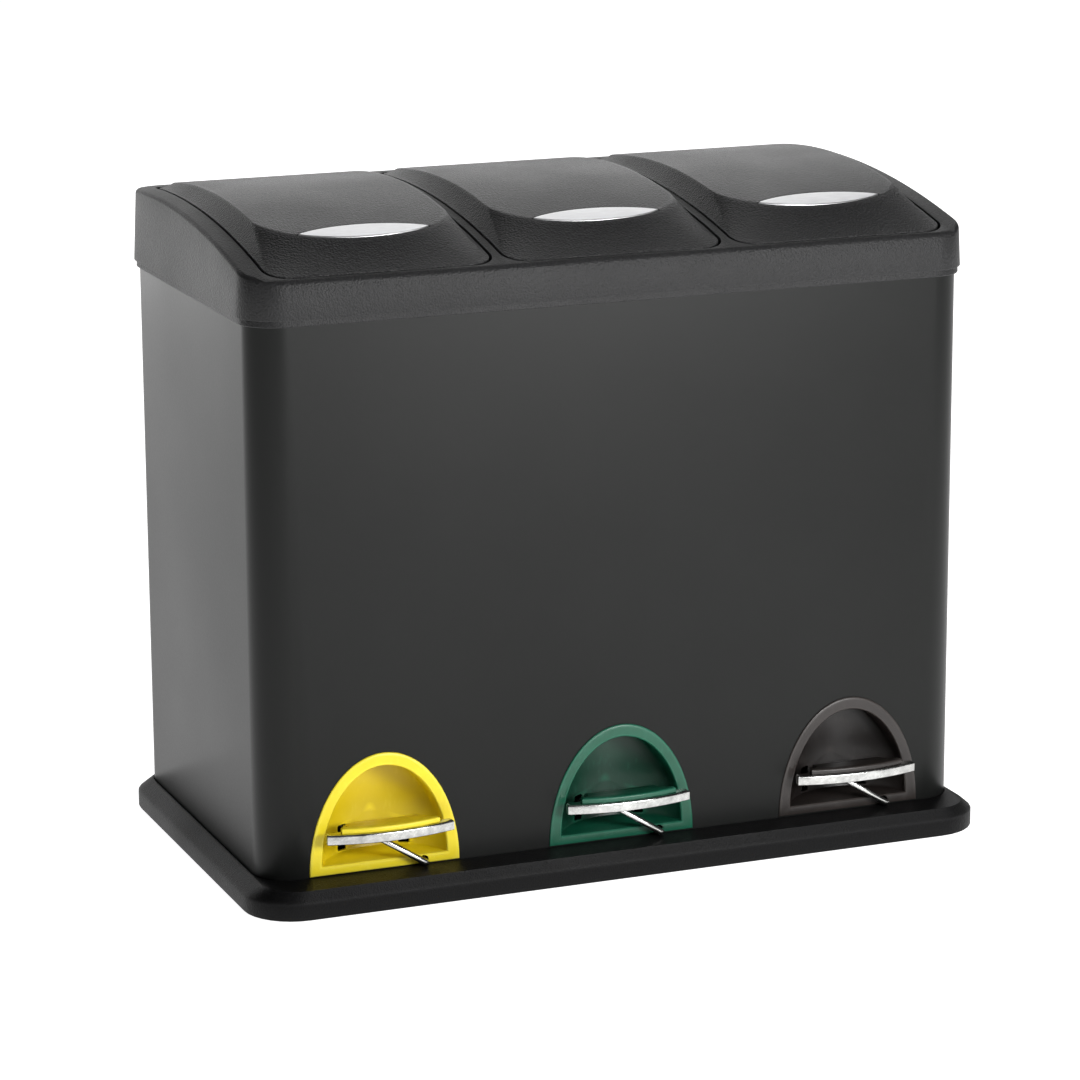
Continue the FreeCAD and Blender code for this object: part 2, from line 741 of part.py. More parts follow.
for name, side in SIDES:
    start = Vector(side * lid_pitch - value("hinge_pin_half") - 0.3, hinge_y, hinge_z)
    lid_frame = lid_frame.cut(Part.makeCylinder(
        value("hinge_pin_radius") + value("running_gap") / 2,
        2 * value("hinge_pin_half") + 0.6, start, Vector(1, 0, 0)))
shaped("lid_frame", lid_frame.removeSplitter())

group("hinge_pins", [
    cylinder_along_x("hinge_pin_" + name, "%d * lid_pitch" % side, LID_HINGE_Y, "hinge_height",
                     "hinge_pin_radius", "2 * hinge_pin_half")
    for name, side in SIDES])

# Rubber stops on the seats, a little under each closed lid's lip.
stops = []
for name, side in SIDES:
    for hand in (-1, 1):
        foot = Vector(side * lid_pitch + hand * lid_half / 2, lid_front + value("lid_wall"), shell_top)
        post = Part.makeCylinder(value("lid_wall"), arc_top - shell_top, foot)
        post = post.common(arched(value("lid_lip + stop_gap")))
        stops.append(post.cut(arched(value("seat_drop"))))
shaped("lid_stops", Part.makeCompound(stops))


# -------------------------------------------------------------------------- lids
# Each lid is a hollow moulding: an arched top panel inside a curved crease, with
# sloping flanks down to the frame, a short lip, a rear wall and one lever lobe
# whose slot carries the push rod.

def crown(inset, drop):
    """Solid under a lid's outside, moved in and down by a wall's thickness."""
    half = lid_half - inset
    front = lid_front + inset
    back = lid_back - inset
    corner = value("lid_corner") - inset
    border_wide = value("lid_border")
    foot_half = half - border_wide
    foot_front = front + border_wide
    foot_corner = corner - border_wide
    beyond = back + 5
    crease_half = lid_half - value("crease_inset") - inset
    crease_y = shell_front + value("crease_from_front")
    bow = value("crease_bow") - inset
    badge = value("badge_half") - inset
    panel_y = shell_front + value("lid_arc_from_front")
    panel_top = value("lid_arc_crest") - drop
    panel_radius = value("lid_arc_radius") - drop
    rest_radius = arc_radius - drop
    steps = 8

    def on_panel(x, y):
        rise = math.sqrt(panel_radius ** 2 - (y - panel_y) ** 2) - panel_radius
        return Vector(x, y, panel_top + rise)

    def on_rest(x, y):
        rise = math.sqrt(rest_radius ** 2 - (y - arc_y) ** 2) - rest_radius
        return Vector(x, y, arc_top - drop + rise)

    def to_plane(low, high, base_point, normal):
        """Where the ruling through two points meets a plane."""
        share = normal.dot(base_point - low) / normal.dot(high - low)
        return low + (high - low) * share

    # pairs of points, lid edge and crease, for half the lid from front to back
    turn_start = math.asin(badge / crease_half)
    front_pairs, corner_pairs, side_pairs = [], [], []
    for index in range(-steps, steps + 1):
        share = index / steps
        x = share * badge
        y = crease_y - bow * math.sqrt(1 - (x / crease_half) ** 2)
        front_pairs.append((on_rest(share * (foot_half - foot_corner), foot_front), on_panel(x, y)))
    for index in range(steps + 1):
        share = index / steps
        turn = math.radians(90) * share
        angle = turn_start + (math.pi / 2 - turn_start) * share
        corner_pairs.append((
            on_rest(foot_half - foot_corner + foot_corner * math.sin(turn),
                    foot_front + foot_corner - foot_corner * math.cos(turn)),
            on_panel(crease_half * math.sin(angle), crease_y - bow * math.cos(angle))))
        side_pairs.append((
            on_rest(foot_half, foot_front + foot_corner + share * (beyond - foot_front - foot_corner)),
            on_panel(crease_half, crease_y + share * (beyond - crease_y))))

    def mirrored(pairs):
        return [(Vector(-a.x, a.y, a.z), Vector(-b.x, b.y, b.z)) for a, b in reversed(pairs)]

    runs = [front_pairs, corner_pairs, side_pairs,
            [side_pairs[-1], mirrored(side_pairs)[0]],
            mirrored(side_pairs), mirrored(corner_pairs)]
    low_plane = (on_rest(0, front) - Vector(0, 0, 2), on_rest(0, back) - Vector(0, 0, 3))
    along = low_plane[1] - low_plane[0]
    low_normal = Vector(1, 0, 0).cross(along).normalize()
    high_base = Vector(0, 0, panel_top + 4)
    high_normal = Vector(0, 0, 1)
    low_edges, high_edges = [], []
    for pairs in runs:
        shares = [index / (len(pairs) - 1) for index in range(len(pairs))]
        for edges, base_point, normal in ((low_edges, low_plane[0], low_normal),
                                          (high_edges, high_base, high_normal)):
            points = [to_plane(low, high, base_point, normal) for low, high in pairs]
            if len(points) == 2:
                edges.append(Part.LineSegment(*points).toShape())
                continue
            curve = Part.BSplineCurve()
            curve.interpolate(Points=points, Parameters=shares)
            edges.append(curve.toShape())
    flanks = Part.makeLoft([Part.Wire(low_edges), Part.Wire(high_edges)], True, True)
    room = outline_edges(half - border_wide / 2, front + border_wide / 2, back - border_wide / 2,
                         corner - border_wide / 2, 3.0 - border_wide / 2, arc_top - 100)
    panel = under_arc(panel_radius, panel_y, panel_top, 150)
    raised = flanks.common(prism(room, 200)).common(panel)
    footprint = outline_edges(half, front, back, corner, 3.0, arc_top - 100)
    rest = under_arc(rest_radius, arc_y, arc_top - drop, 150)
    return prism(footprint, 200).common(rest).fuse(raised)


def lid_shape(lever_x):
    """One lid about its own middle, with the lever lobe at the given X."""
    wall = value("lid_wall")
    shape = crown(0, 0).cut(crown(wall, wall)).cut(arched(value("lid_lip")))
    thick = value("lever_thick")
    pin = value("push_radius")
    arm = value("lever_arm")
    half_turn = math.radians(value("lid_turn") / 2)
    far = arm / math.cos(half_turn)
    middle = (arm + far) / 2
    play = 0.75
    slot_long = (far - arm) / 2 + pin + 0.3
    slot_high = pin + play
    # the lobe hangs from the panel, its slot half a turn below level
    lobe = box(lever_x - thick / 2, lever_x + thick / 2, hinge_y - far - pin - 5, hinge_y + 2,
               hinge_z - far * math.sin(half_turn) - pin - 4, arc_top + 20)
    lobe = lobe.common(crown(wall / 2, wall / 2).fuse(
        box(-lid_half, lid_half, hinge_y - 40, hinge_y + 2, hinge_z - 40, hinge_z + 2)))
    slot = box(-2 * thick, 2 * thick, -slot_long, slot_long, -slot_high, slot_high)
    slot.rotate(Vector(0, 0, 0), Vector(1, 0, 0), math.degrees(half_turn))
    slot.translate(Vector(lever_x, hinge_y - middle * math.cos(half_turn),
                          hinge_z - middle * math.sin(half_turn)))
    bore_radius = value("hinge_pin_radius + running_gap")
    # two round knuckles inside the side walls and the lobe take the hinge pin
    shape = shape.fuse([lobe])
    for hand in (-1, 1):
        inner_x = hand * (lid_half - wall / 2)
        width = 9.0
        start = Vector(min(inner_x, inner_x - hand * width), hinge_y, hinge_z)
        knuckle = Part.makeCylinder(value("hinge_pin_radius") + 2.2, width, start, Vector(1, 0, 0))
        shape = shape.fuse([knuckle.common(crown(wall / 2, wall / 2).fuse(
            under_arc(arc_radius - 2, arc_y, arc_top - 2, lid_half)))])
    bore = Part.makeCylinder(bore_radius, 2 * lid_half + 2,
                             Vector(-lid_half - 1, hinge_y, hinge_z), Vector(1, 0, 0))
    return shape.cut(bore.fuse(slot)).removeSplitter()


ROD_X_VALUE = value(ROD_X)
pedal_pitch = value("pedal_pitch")
for name, side in SIDES:
    rod_x = side * pedal_pitch + ROD_X_VALUE
    lever_x = rod_x - side * lid_pitch - value("push_radius + lever_thick / 2 + 1.0")
    lid = lid_shape(lever_x)

    # the badge: a thin bright lens let into the panel above the front slope
    badge_half = value("badge_half")
    crease_half = lid_half - value("crease_inset")
    crease_y = shell_front + value("crease_from_front")
    bow = value("crease_bow")
    tip_y = crease_y - bow * math.sqrt(1 - (badge_half / crease_half) ** 2)
    nose_y = crease_y - bow
    lens_tips = (Vector(-badge_half + 0.8, tip_y + 0.5, 0), Vector(badge_half - 0.8, tip_y + 0.5, 0))
    front_arc = Part.Arc(lens_tips[0], Vector(0, nose_y + 1.0, 0), lens_tips[1]).toShape()
    back_arc = Part.Arc(lens_tips[1], Vector(0, tip_y + value("badge_bow_back"), 0),
                        lens_tips[0]).toShape()
    lens = Part.Face(Part.Wire([front_arc, back_arc])).extrude(Vector(0, 0, 900))
    panel_y = shell_front + value("lid_arc_from_front")

    def panel_below(drop):
        return under_arc(value("lid_arc_radius") - drop, panel_y,
                         value("lid_arc_crest") - drop, 150)

    plate_low = value("badge_thick") - value("badge_proud")
    badge = lens.common(panel_below(-value("badge_proud"))).cut(panel_below(plate_low))
    lid = lid.cut(badge)
    for label, shape in (("lid_" + name, lid), ("lid_badge_" + name, badge)):
        placed = shape.copy()
        placed.translate(Vector(side * lid_pitch, 0, 0))
        shaped(label, placed)


# --------------------------------------------------- push rods, shoes and guides
# Behind each bucket a straight wire rises from the crank to the lid's lever.  Its
# bent top is the pin in the lever's slot, and a plastic shoe on its foot rides on
# the crank.  Two guides on the back wall keep it upright.

rod_y = value(ROD_Y)
push_radius = value("push_radius")
crank_radius = value("crank_radius")
half_turn = math.radians(value("lid_turn") / 2)
pin_z = hinge_z - value("lever_arm") * math.tan(half_turn)
crank_z = value("crank_height")
crank_reach = value(CRANK_REACH)
rear_drop = crank_reach * math.tan(math.radians(value("crank_turn") / 2))
shoe_long = value("shoe_long")
shoe_roof = crank_z - rear_drop + crank_radius + 0.9
shoe_top = shoe_roof + 6.0
rod_foot = shoe_roof + 2.0
shoe_gap = 0.3
for name, side in SIDES:
    rod_x = side * pedal_pitch + ROD_X_VALUE
    inner_end = rod_x - push_radius - 1.0 - value("lever_thick") - 1.0
    rod = bent_wire([Vector(rod_x, rod_y, rod_foot), Vector(rod_x, rod_y, pin_z),
                     Vector(inner_end, rod_y, pin_z)], push_radius + 0.01, push_radius)
    shaped("push_rod_" + name, rod)
    half_wide = value("shoe_wide") / 2
    shoe = box(rod_x - shoe_long / 2, rod_x + shoe_long / 2, rod_y - half_wide, rod_y + half_wide,
               shoe_roof - 2 * crank_radius - 1, shoe_top)
    tunnel = crank_radius + shoe_gap
    shoe = shoe.cut(box(rod_x - shoe_long, rod_x + shoe_long, rod_y - tunnel, rod_y + tunnel,
                        shoe_roof - 3 * crank_radius, shoe_roof))
    socket = Part.makeCylinder(push_radius, 20, Vector(rod_x, rod_y, rod_foot))
    shaped("rod_shoe_" + name, shoe.cut(socket))

guides = []
inner_corner = value("shell_corner - shell_sheet")
shell_room = prism(outline_edges(shell_half - sheet_thick, shell_front + sheet_thick,
                                 shell_back - sheet_thick, inner_corner, inner_corner,
                                 value("base_top")), value("shell_top - base_top"))
for name, side in SIDES:
    rod_x = side * pedal_pitch + ROD_X_VALUE
    for level in ("guide_height_low", "guide_height_high"):
        height = value(level)
        wide = value("guide_wide") / 2
        tall = value("guide_tall") / 2
        back_plane = shell_back - sheet_thick
        block = box(rod_x - wide, rod_x + wide, rod_y - push_radius - 3, back_plane,
                    height - tall, height + tall)
        block = block.cut(box(rod_x - wide + 2.5, rod_x + wide - 2.5, rod_y + push_radius + 3,
                              back_plane - 3, height - tall - 1, height + tall + 1))
        bore = Part.makeCylinder(push_radius + 0.08, 2 * tall + 2,
                                 Vector(rod_x, rod_y, height - tall - 1))
        guides.append(block.cut(bore).common(shell_room))
shaped("rod_guides", Part.makeCompound(guides))


# -------------------------------------------------------------------- crank rods
# Bent steel wire turning about its long run along Y: the front arm slopes up under
# the pedal, the rear arm reaches out under the push rod's shoe.

arm = value("crank_arm")
rest = math.radians(value("crank_rest"))
back_turn = math.radians(value("crank_turn") / 2)
front_y = shell_front + value("crank_front_from_shell")
for name, side in SIDES:
    centre_x = side * pedal_pitch + value("crank_offset")
    far = crank_reach + shoe_long / 2 + 3
    wire = bent_wire([
        Vector(centre_x - arm * math.cos(rest), front_y, crank_z + arm * math.sin(rest)),
        Vector(centre_x, front_y, crank_z),
        Vector(centre_x, rod_y, crank_z),
        Vector(centre_x + far, rod_y, crank_z - far * math.tan(back_turn)),
    ], crank_radius + 1.0, crank_radius)
    shaped("crank_rod_" + name, wire)

# Bearing blocks on the floor: one sketch a row, each block with its bore.
saddle_rows = []
for row_name, row_y in (("front", "(%s + 52)" % SHELL_FRONT), ("rear", "(%s - 14)" % ROD_Y)):
    row = new_body("saddle_row_" + row_name)
    profile = new_sketch(row, "saddle_profile_" + row_name, "XZ_Plane", "-(%s)" % row_y)
    for name, side in SIDES:
        middle = "(%d * pedal_pitch + crank_offset)" % side
        rectangle(profile, "%s - crank_radius - 5" % middle, "%s + crank_radius + 5" % middle,
                  FLOOR_TOP, "crank_height + crank_radius + 3")
        circle(profile, middle, "crank_height", "crank_radius + 0.08")
    pad(row, profile, "10", symmetric=True)
    saddle_rows.append(row)
group("crank_saddles", saddle_rows)


# ------------------------------------------------------------------------ pedals
# Stamped steel: a bowed front flange turned down all round, a small top plate and
# two arms that pass through the recess to the hinge.  A coloured pad lies on top.

hinge_pedal_y = shell_front + value("pedal_hinge_from_front")
hinge_pedal_z = value("pedal_hinge_height")
pedal_half = value("pedal_half")
pedal_top = value("pedal_top")
sheet_steel = value("pedal_sheet")
end_y = shell_front - value("pedal_front_end")
nose_y = end_y - value("pedal_bow")
deep_y = end_y + value("pedal_end_deep")
arm_x = value("arm_spread")
arm_half = value("arm_thick") / 2
pad_half = value("pad_half")


def pedal_plan(inset, back):
    """Plan outline of the pedal: bowed front, short ends, narrower tongue."""
    half = pedal_half - inset
    tongue = arm_x + arm_half + 6 - inset
    front_arc = Part.Arc(Vector(-half, end_y + inset, 0), Vector(0, nose_y + inset, 0),
                         Vector(half, end_y + inset, 0)).toShape()
    corners = [Vector(half, end_y + inset, 0), Vector(half, deep_y, 0),
               Vector(tongue + 3, deep_y + 3, 0), Vector(tongue, back, 0),
               Vector(-tongue, back, 0), Vector(-tongue - 3, deep_y + 3, 0),
               Vector(-half, deep_y, 0), Vector(-half, end_y + inset, 0)]
    lines = [Part.LineSegment(a, b).toShape() for a, b in zip(corners, corners[1:])]
    return Part.Face(Part.Wire([front_arc] + lines))


plate_back = shell_front + 6
for name, side in SIDES:
    move = Vector(side * pedal_pitch, 0, 0)
    low = pedal_top - value("pedal_flange")
    block = pedal_plan(0, plate_back).extrude(Vector(0, 0, value("pedal_flange")))
    block.translate(Vector(0, 0, low))
    under = pedal_plan(sheet_steel, plate_back + 5).extrude(
        Vector(0, 0, value("pedal_flange") - sheet_steel))
    under.translate(Vector(0, 0, low))
    plate = block.cut(under)
    # the back of the plate is open, and its sides end before the arms
    plate = plate.cut(box(-arm_x - arm_half - 7, arm_x + arm_half + 7, deep_y + 2, plate_back + 5,
                          low - 1, pedal_top - sheet_steel))
    eye = value("pedal_eye")
    for hand in (-1, 1):
        outline = [
            (deep_y, pedal_top - sheet_steel), (deep_y, low),
            (shell_front + 9, low - 4), (shell_front + 19, hinge_pedal_z - 1),
            (hinge_pedal_y, hinge_pedal_z - eye), (hinge_pedal_y, hinge_pedal_z + eye),
            (shell_front + 15, value("slot_high") - 1.5),
            (shell_front + 5, pedal_top - sheet_steel),
        ]
        start_x = hand * arm_x - arm_half
        points = [Vector(start_x, y, z) for y, z in outline]
        web = Part.Face(Part.makePolygon(points + points[:1])).extrude(Vector(2 * arm_half, 0, 0))
        end = Part.makeCylinder(eye, 2 * arm_half, Vector(start_x, hinge_pedal_y, hinge_pedal_z),
                                Vector(1, 0, 0))
        plate = plate.fuse([web, end])
    bore = Part.makeCylinder(value("pedal_pin_radius + running_gap"), 200,
                             Vector(-100, hinge_pedal_y, hinge_pedal_z), Vector(1, 0, 0))
    plate = plate.cut(bore).removeSplitter()
    plate.translate(move)
    shaped("pedal_plate_" + name, plate)

    edge_y = end_y - value("pedal_bow") / 3
    pad_front = Part.Arc(Vector(-pad_half, edge_y + 2.5, 0), Vector(0, nose_y + 2.5, 0),
                         Vector(pad_half, edge_y + 2.5, 0)).toShape()
    tongue = arm_x + arm_half + 4
    corners = [Vector(pad_half, edge_y + 2.5, 0), Vector(pad_half, deep_y - 1, 0),
               Vector(tongue, deep_y + 2, 0), Vector(tongue, plate_back - 1, 0),
               Vector(-tongue, plate_back - 1, 0), Vector(-tongue, deep_y + 2, 0),
               Vector(-pad_half, deep_y - 1, 0), Vector(-pad_half, edge_y + 2.5, 0)]
    lines = [Part.LineSegment(a, b).toShape() for a, b in zip(corners, corners[1:])]
    pad_solid = Part.Face(Part.Wire([pad_front] + lines)).extrude(
        Vector(0, 0, value("pad_high")))
    pad_solid.translate(Vector(0, 0, pedal_top) + move)
    # the pad falls away towards the back
    wedge_points = [Vector(-90, deep_y - 4, pedal_top + value("pad_high") + 0.01),
                    Vector(-90, plate_back + 1, pedal_top + 1.2),
                    Vector(-90, plate_back + 1, pedal_top + 9),
                    Vector(-90, deep_y - 4, pedal_top + 9)]
    wedge = Part.Face(Part.makePolygon(wedge_points + wedge_points[:1])).extrude(
        Vector(180, 0, 0))
    wedge.translate(move)
    shaped("pedal_pad_" + name, pad_solid.cut(wedge))

group("pedal_pins", [
    cylinder_along_x("pedal_pin_" + name, "%d * pedal_pitch" % side,
                     "(%s + pedal_hinge_from_front)" % SHELL_FRONT, "pedal_hinge_height",
                     "pedal_pin_radius", "2 * arm_spread + arm_thick + 3")
    for name, side in SIDES])

# U brackets of folded sheet on the floor, between the pedal arms.
ear = new_body("pedal_bracket_body")
profile = new_sketch(ear, "bracket_section", "XZ_Plane",
                     "-(%s + pedal_hinge_from_front)" % SHELL_FRONT)
for name, side in SIDES:
    middle = "(%d * pedal_pitch)" % side
    left, right = "%s - bracket_spread" % middle, "%s + bracket_spread" % middle
    top = "pedal_hinge_height + pedal_eye"
    polygon(profile, [
        (left + " - bracket_sheet", FLOOR_TOP), (right + " + bracket_sheet", FLOOR_TOP),
        (right + " + bracket_sheet", top), (right, top),
        (right, FLOOR_TOP + " + bracket_sheet"), (left, FLOOR_TOP + " + bracket_sheet"),
        (left, top), (left + " - bracket_sheet", top)])
pad(ear, profile, "2 * pedal_eye", symmetric=True)
pin_holes = new_sketch(ear, "bracket_holes", "YZ_Plane", "0")
circle(pin_holes, "(%s + pedal_hinge_from_front)" % SHELL_FRONT, "pedal_hinge_height",
       "pedal_pin_radius")
pocket(ear, pin_holes, "2 * pedal_pitch + 4 * pedal_half", symmetric=True)
keep("pedal_brackets", ear)


# ----------------------------------------------------------------------- buckets
# Tapered plastic liners with a turned-out rim, two ears and a wire bail each.

for name, side in SIDES:
    middle = "(%d * lid_pitch)" % side
    bucket = new_body("bucket_" + name)
    rims = []
    for level, half, front, back in (
            ("low", "bucket_bottom_half", "bucket_bottom_front", "bucket_bottom_back"),
            ("high", "bucket_top_half", "bucket_top_front", "bucket_top_back")):
        height = BUCKET_LOW if level == "low" else "bucket_top"
        ring = new_sketch(bucket, "bucket_%s_%s" % (level, name), "XY_Plane", height)
        rounded_rectangle(ring, "%s - %s" % (middle, half), "%s + %s" % (middle, half),
                          "(%s + %s)" % (SHELL_FRONT, front), "(%s + %s)" % (SHELL_FRONT, back),
                          "bucket_corner")
        rims.append(ring)
    loft(bucket, "AdditiveLoft", rims[0], rims[1])
    lip = new_sketch(bucket, "bucket_rim_" + name, "XY_Plane", "bucket_top")
    rounded_rectangle(
        lip, "%s - bucket_top_half - rim_reach" % middle, "%s + bucket_top_half + rim_reach" % middle,
        "(%s + bucket_top_front - rim_reach)" % SHELL_FRONT,
        "(%s + bucket_top_back + rim_reach)" % SHELL_FRONT, "bucket_corner + rim_reach")
    pad(bucket, lip, "rim_height", reverse=True)
    insides = []
    for level, half, front, back in (
            ("floor", "bucket_bottom_half", "bucket_bottom_front", "bucket_bottom_back"),
            ("mouth", "bucket_top_half", "bucket_top_front", "bucket_top_back")):
        height = BUCKET_LOW + " + bucket_wall" if level == "floor" else "bucket_top + 1"
        ring = new_sketch(bucket, "bucket_%s_%s" % (level, name), "XY_Plane", height)
        rounded_rectangle(
            ring, "%s - %s + bucket_wall" % (middle, half), "%s + %s - bucket_wall" % (middle, half),
            "(%s + %s + bucket_wall)" % (SHELL_FRONT, front),
            "(%s + %s - bucket_wall)" % (SHELL_FRONT, back), "bucket_corner - bucket_wall")
        insides.append(ring)
    loft(bucket, "SubtractiveLoft", insides[0], insides[1])
    # ears inside the side walls carry the bail
    pivot_y = "(%s + bail_from_front)" % SHELL_FRONT
    inner_wall = "bucket_top_half - bucket_wall"
    ears = new_sketch(bucket, "bail_ears_" + name, "XY_Plane", "bucket_top - 2 * rim_height")
    for hand in (-1, 1):
        near = "%s + %d * (%s + 0.5)" % (middle, hand, inner_wall)
        far = "%s + %d * (%s - ear_thick)" % (middle, hand, inner_wall)
        low, high = (near, far) if hand < 0 else (far, near)
        rectangle(ears, low, high, pivot_y + " - ear_wide / 2", pivot_y + " + ear_wide / 2")
    pad(bucket, ears, "2 * rim_height + 3 * bail_radius + 1")
    pivots = new_sketch(bucket, "bail_pivots_" + name, "YZ_Plane", middle)
    circle(pivots, pivot_y, "bucket_top + bail_radius + 0.3", "bail_radius + running_gap")
    pocket(bucket, pivots, "2 * bucket_top_half + 20", symmetric=True)
    keep("bucket_" + name, bucket)

    bail_radius = value("bail_radius")
    bail_z = value("bucket_top + bail_radius + 0.3")
    bail_half = value("bail_half")
    outer_x = value("bucket_top_half - bucket_wall - 0.5")
    y_pivot = value(pivot_y)
    y_back = shell_front + value("bail_back")
    x = side * lid_pitch
    bail = bent_wire([
        Vector(x - outer_x, y_pivot, bail_z), Vector(x - bail_half + 3, y_pivot, bail_z),
        Vector(x - bail_half + 3, y_back, bail_z), Vector(x + bail_half - 3, y_back, bail_z),
        Vector(x + bail_half - 3, y_pivot, bail_z), Vector(x + outer_x, y_pivot, bail_z)],
        bail_radius + 0.5, bail_radius)
    shaped("bucket_bail_" + name, bail)


# ------------------------------------------------------------- check and write
doc.recompute()
for item in doc.Objects:
    if "Invalid" in item.State or "Error" in item.State:
        raise RuntimeError("%s is in state %s" % (item.Label, item.State))
os.makedirs("parts", exist_ok=True)
for label in sorted(finished):
    shape = finished[label].Shape
    if shape.isNull() or not shape.isValid() or not shape.Solids:
        raise RuntimeError("%s has no valid solid" % label)
    shape.exportStep("parts/%s.step" % label)
    box_now = shape.BoundBox
    print("%-22s solids %2d volume %10.1f  x %7.1f %7.1f  y %7.1f %7.1f  z %6.1f %6.1f" % (
        label, len(shape.Solids), shape.Volume, box_now.XMin, box_now.XMax,
        box_now.YMin, box_now.YMax, box_now.ZMin, box_now.ZMax))
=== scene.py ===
import math
import bmesh
import bpy
from mathutils import Matrix, Vector


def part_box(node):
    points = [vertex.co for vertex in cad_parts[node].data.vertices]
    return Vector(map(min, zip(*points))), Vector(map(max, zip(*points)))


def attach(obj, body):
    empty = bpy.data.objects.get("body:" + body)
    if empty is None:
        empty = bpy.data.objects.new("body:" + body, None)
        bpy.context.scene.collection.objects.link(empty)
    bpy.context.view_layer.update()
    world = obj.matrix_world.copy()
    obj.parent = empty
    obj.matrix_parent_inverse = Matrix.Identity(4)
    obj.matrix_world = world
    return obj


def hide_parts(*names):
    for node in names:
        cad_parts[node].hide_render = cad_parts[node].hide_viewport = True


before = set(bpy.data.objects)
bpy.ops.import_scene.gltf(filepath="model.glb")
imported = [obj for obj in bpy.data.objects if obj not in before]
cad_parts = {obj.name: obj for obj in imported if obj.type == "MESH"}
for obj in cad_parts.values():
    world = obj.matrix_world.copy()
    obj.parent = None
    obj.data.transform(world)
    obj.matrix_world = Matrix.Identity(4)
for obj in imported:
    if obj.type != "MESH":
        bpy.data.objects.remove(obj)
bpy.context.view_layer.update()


# ---- Base tray.
# The real piece is one black polypropylene moulding with a fine spark-eroded grain.
# The shell stands in its groove and the three buckets stand on the rails inside.

tray_low, tray_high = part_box("base_tray")
shell_low, shell_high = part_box("outer_shell")
SHELL_HALF = 0.290
SHELL_FRONT = shell_low.y
SHELL_BACK = SHELL_FRONT + 0.310


def outline(half, front, back, front_corner, back_corner, height, across=1, along=1, turn=8):
    """Rounded rectangle, anticlockwise from the left end of its front side."""
    front_x, back_x = half - front_corner, half - back_corner
    front_y, back_y = front + front_corner, back - back_corner
    flat = []

    def line(start, end, steps):
        for i in range(steps):
            flat.append((start[0] + (end[0] - start[0]) * i / steps,
                         start[1] + (end[1] - start[1]) * i / steps))

    def bend(x, y, radius, start):
        for i in range(turn):
            angle = math.radians(start + 90 * i / turn)
            flat.append((x + radius * math.cos(angle), y + radius * math.sin(angle)))

    line((-front_x, front), (front_x, front), across)
    bend(front_x, front_y, front_corner, -90)
    line((half, front_y), (half, back_y), along)
    bend(back_x, back_y, back_corner, 0)
    line((back_x, back), (-back_x, back), across)
    bend(-back_x, back_y, back_corner, 90)
    line((-half, back_y), (-half, front_y), along)
    bend(-front_x, front_y, front_corner, 180)
    if callable(height):
        return [Vector((x, y, height(x, y))) for x, y in flat]
    return [Vector((x, y, height)) for x, y in flat]


def skin(bm, rings, closed=False, caps=(True, True), wear_and_painted_light=None):
    """Quads from ring to ring; a closed skin comes back to its first ring, others get end faces."""
    layer = bm.verts.layers.float.get("wear_and_painted_light") or bm.verts.layers.float.new("wear_and_painted_light")
    loops = []
    for number, ring in enumerate(rings):
        loop = [bm.verts.new(point) for point in ring]
        if wear_and_painted_light and wear_and_painted_light[number]:
            for vert in loop:
                vert[layer] = wear_and_painted_light[number]
        loops.append(loop)
    pairs = list(zip(loops, loops[1:]))
    if closed:
        pairs.append((loops[-1], loops[0]))
    for low, high in pairs:
        for i in range(len(low)):
            j = (i + 1) % len(low)
            bm.faces.new((low[i], low[j], high[j], high[i]))
    if not closed:
        if caps[0]:
            bm.faces.new(list(reversed(loops[0])))
        if caps[1]:
            bm.faces.new(loops[-1])
    return loops


def fan(bm, loop, point, flip=False):
    """Closes a loop on one middle point."""
    middle = bm.verts.new(point)
    for i in range(len(loop)):
        a, b = loop[i], loop[(i + 1) % len(loop)]
        bm.faces.new((b, a, middle) if flip else (a, b, middle))


def bar(bm, low, high, edge=0.0004, top=None):
    """Small moulded block with its edges broken; top gives the height at a y when it slopes."""
    levels = [(low[2], edge), (low[2] + edge, 0), (high[2] - edge, 0), (high[2], edge)]
    rings = []
    for number, (level, inset) in enumerate(levels):
        ring = []
        for x, y in ((low[0] + inset, low[1] + inset), (high[0] - inset, low[1] + inset),
                     (high[0] - inset, high[1] - inset), (low[0] + inset, high[1] - inset)):
            lift = top(y) - high[2] if top and number > 1 else 0
            ring.append(Vector((x, y, level + lift)))
        rings.append(ring)
    skin(bm, rings)


def piece(name, bm, material, body, slot, *nodes, sharp=38):
    """Makes the finished object from its mesh, with crisp edges past the sharp angle."""
    bmesh.ops.remove_doubles(bm, verts=bm.verts, dist=0.000005)
    bmesh.ops.recalc_face_normals(bm, faces=bm.faces)
    for face in bm.faces:
        face.smooth = True
    limit = math.radians(sharp)
    for edge in bm.edges:
        edge.smooth = len(edge.link_faces) != 2 or edge.calc_face_angle(0) < limit
    mesh = bpy.data.meshes.new(name)
    bm.to_mesh(mesh)
    bm.free()
    mesh.materials.append(material)
    made = bpy.data.objects.new(name, mesh)
    bpy.context.scene.collection.objects.link(made)
    if body:
        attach(made, body)
        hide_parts(*nodes)
    return made


class Number:
    """A value that varies over a surface; arithmetic on it adds the Math nodes."""

    def __init__(self, finish, socket):
        self.finish = finish
        self.socket = socket

    def maths(self, operation, *others):
        return self.finish.maths(operation, self, *others)

    def __add__(self, other):
        return self.maths("ADD", other)

    def __sub__(self, other):
        return self.maths("SUBTRACT", other)

    def __rsub__(self, other):
        return self.finish.maths("SUBTRACT", other, self)

    def __mul__(self, other):
        return self.maths("MULTIPLY", other)

    __radd__ = __add__
    __rmul__ = __mul__

    def between(self, low, high):
        """0 below low, 1 above high, straight between."""
        return self.finish.node("ShaderNodeMapRange", {"clamp": True},
                                {"Value": self, "From Min": low, "From Max": high})


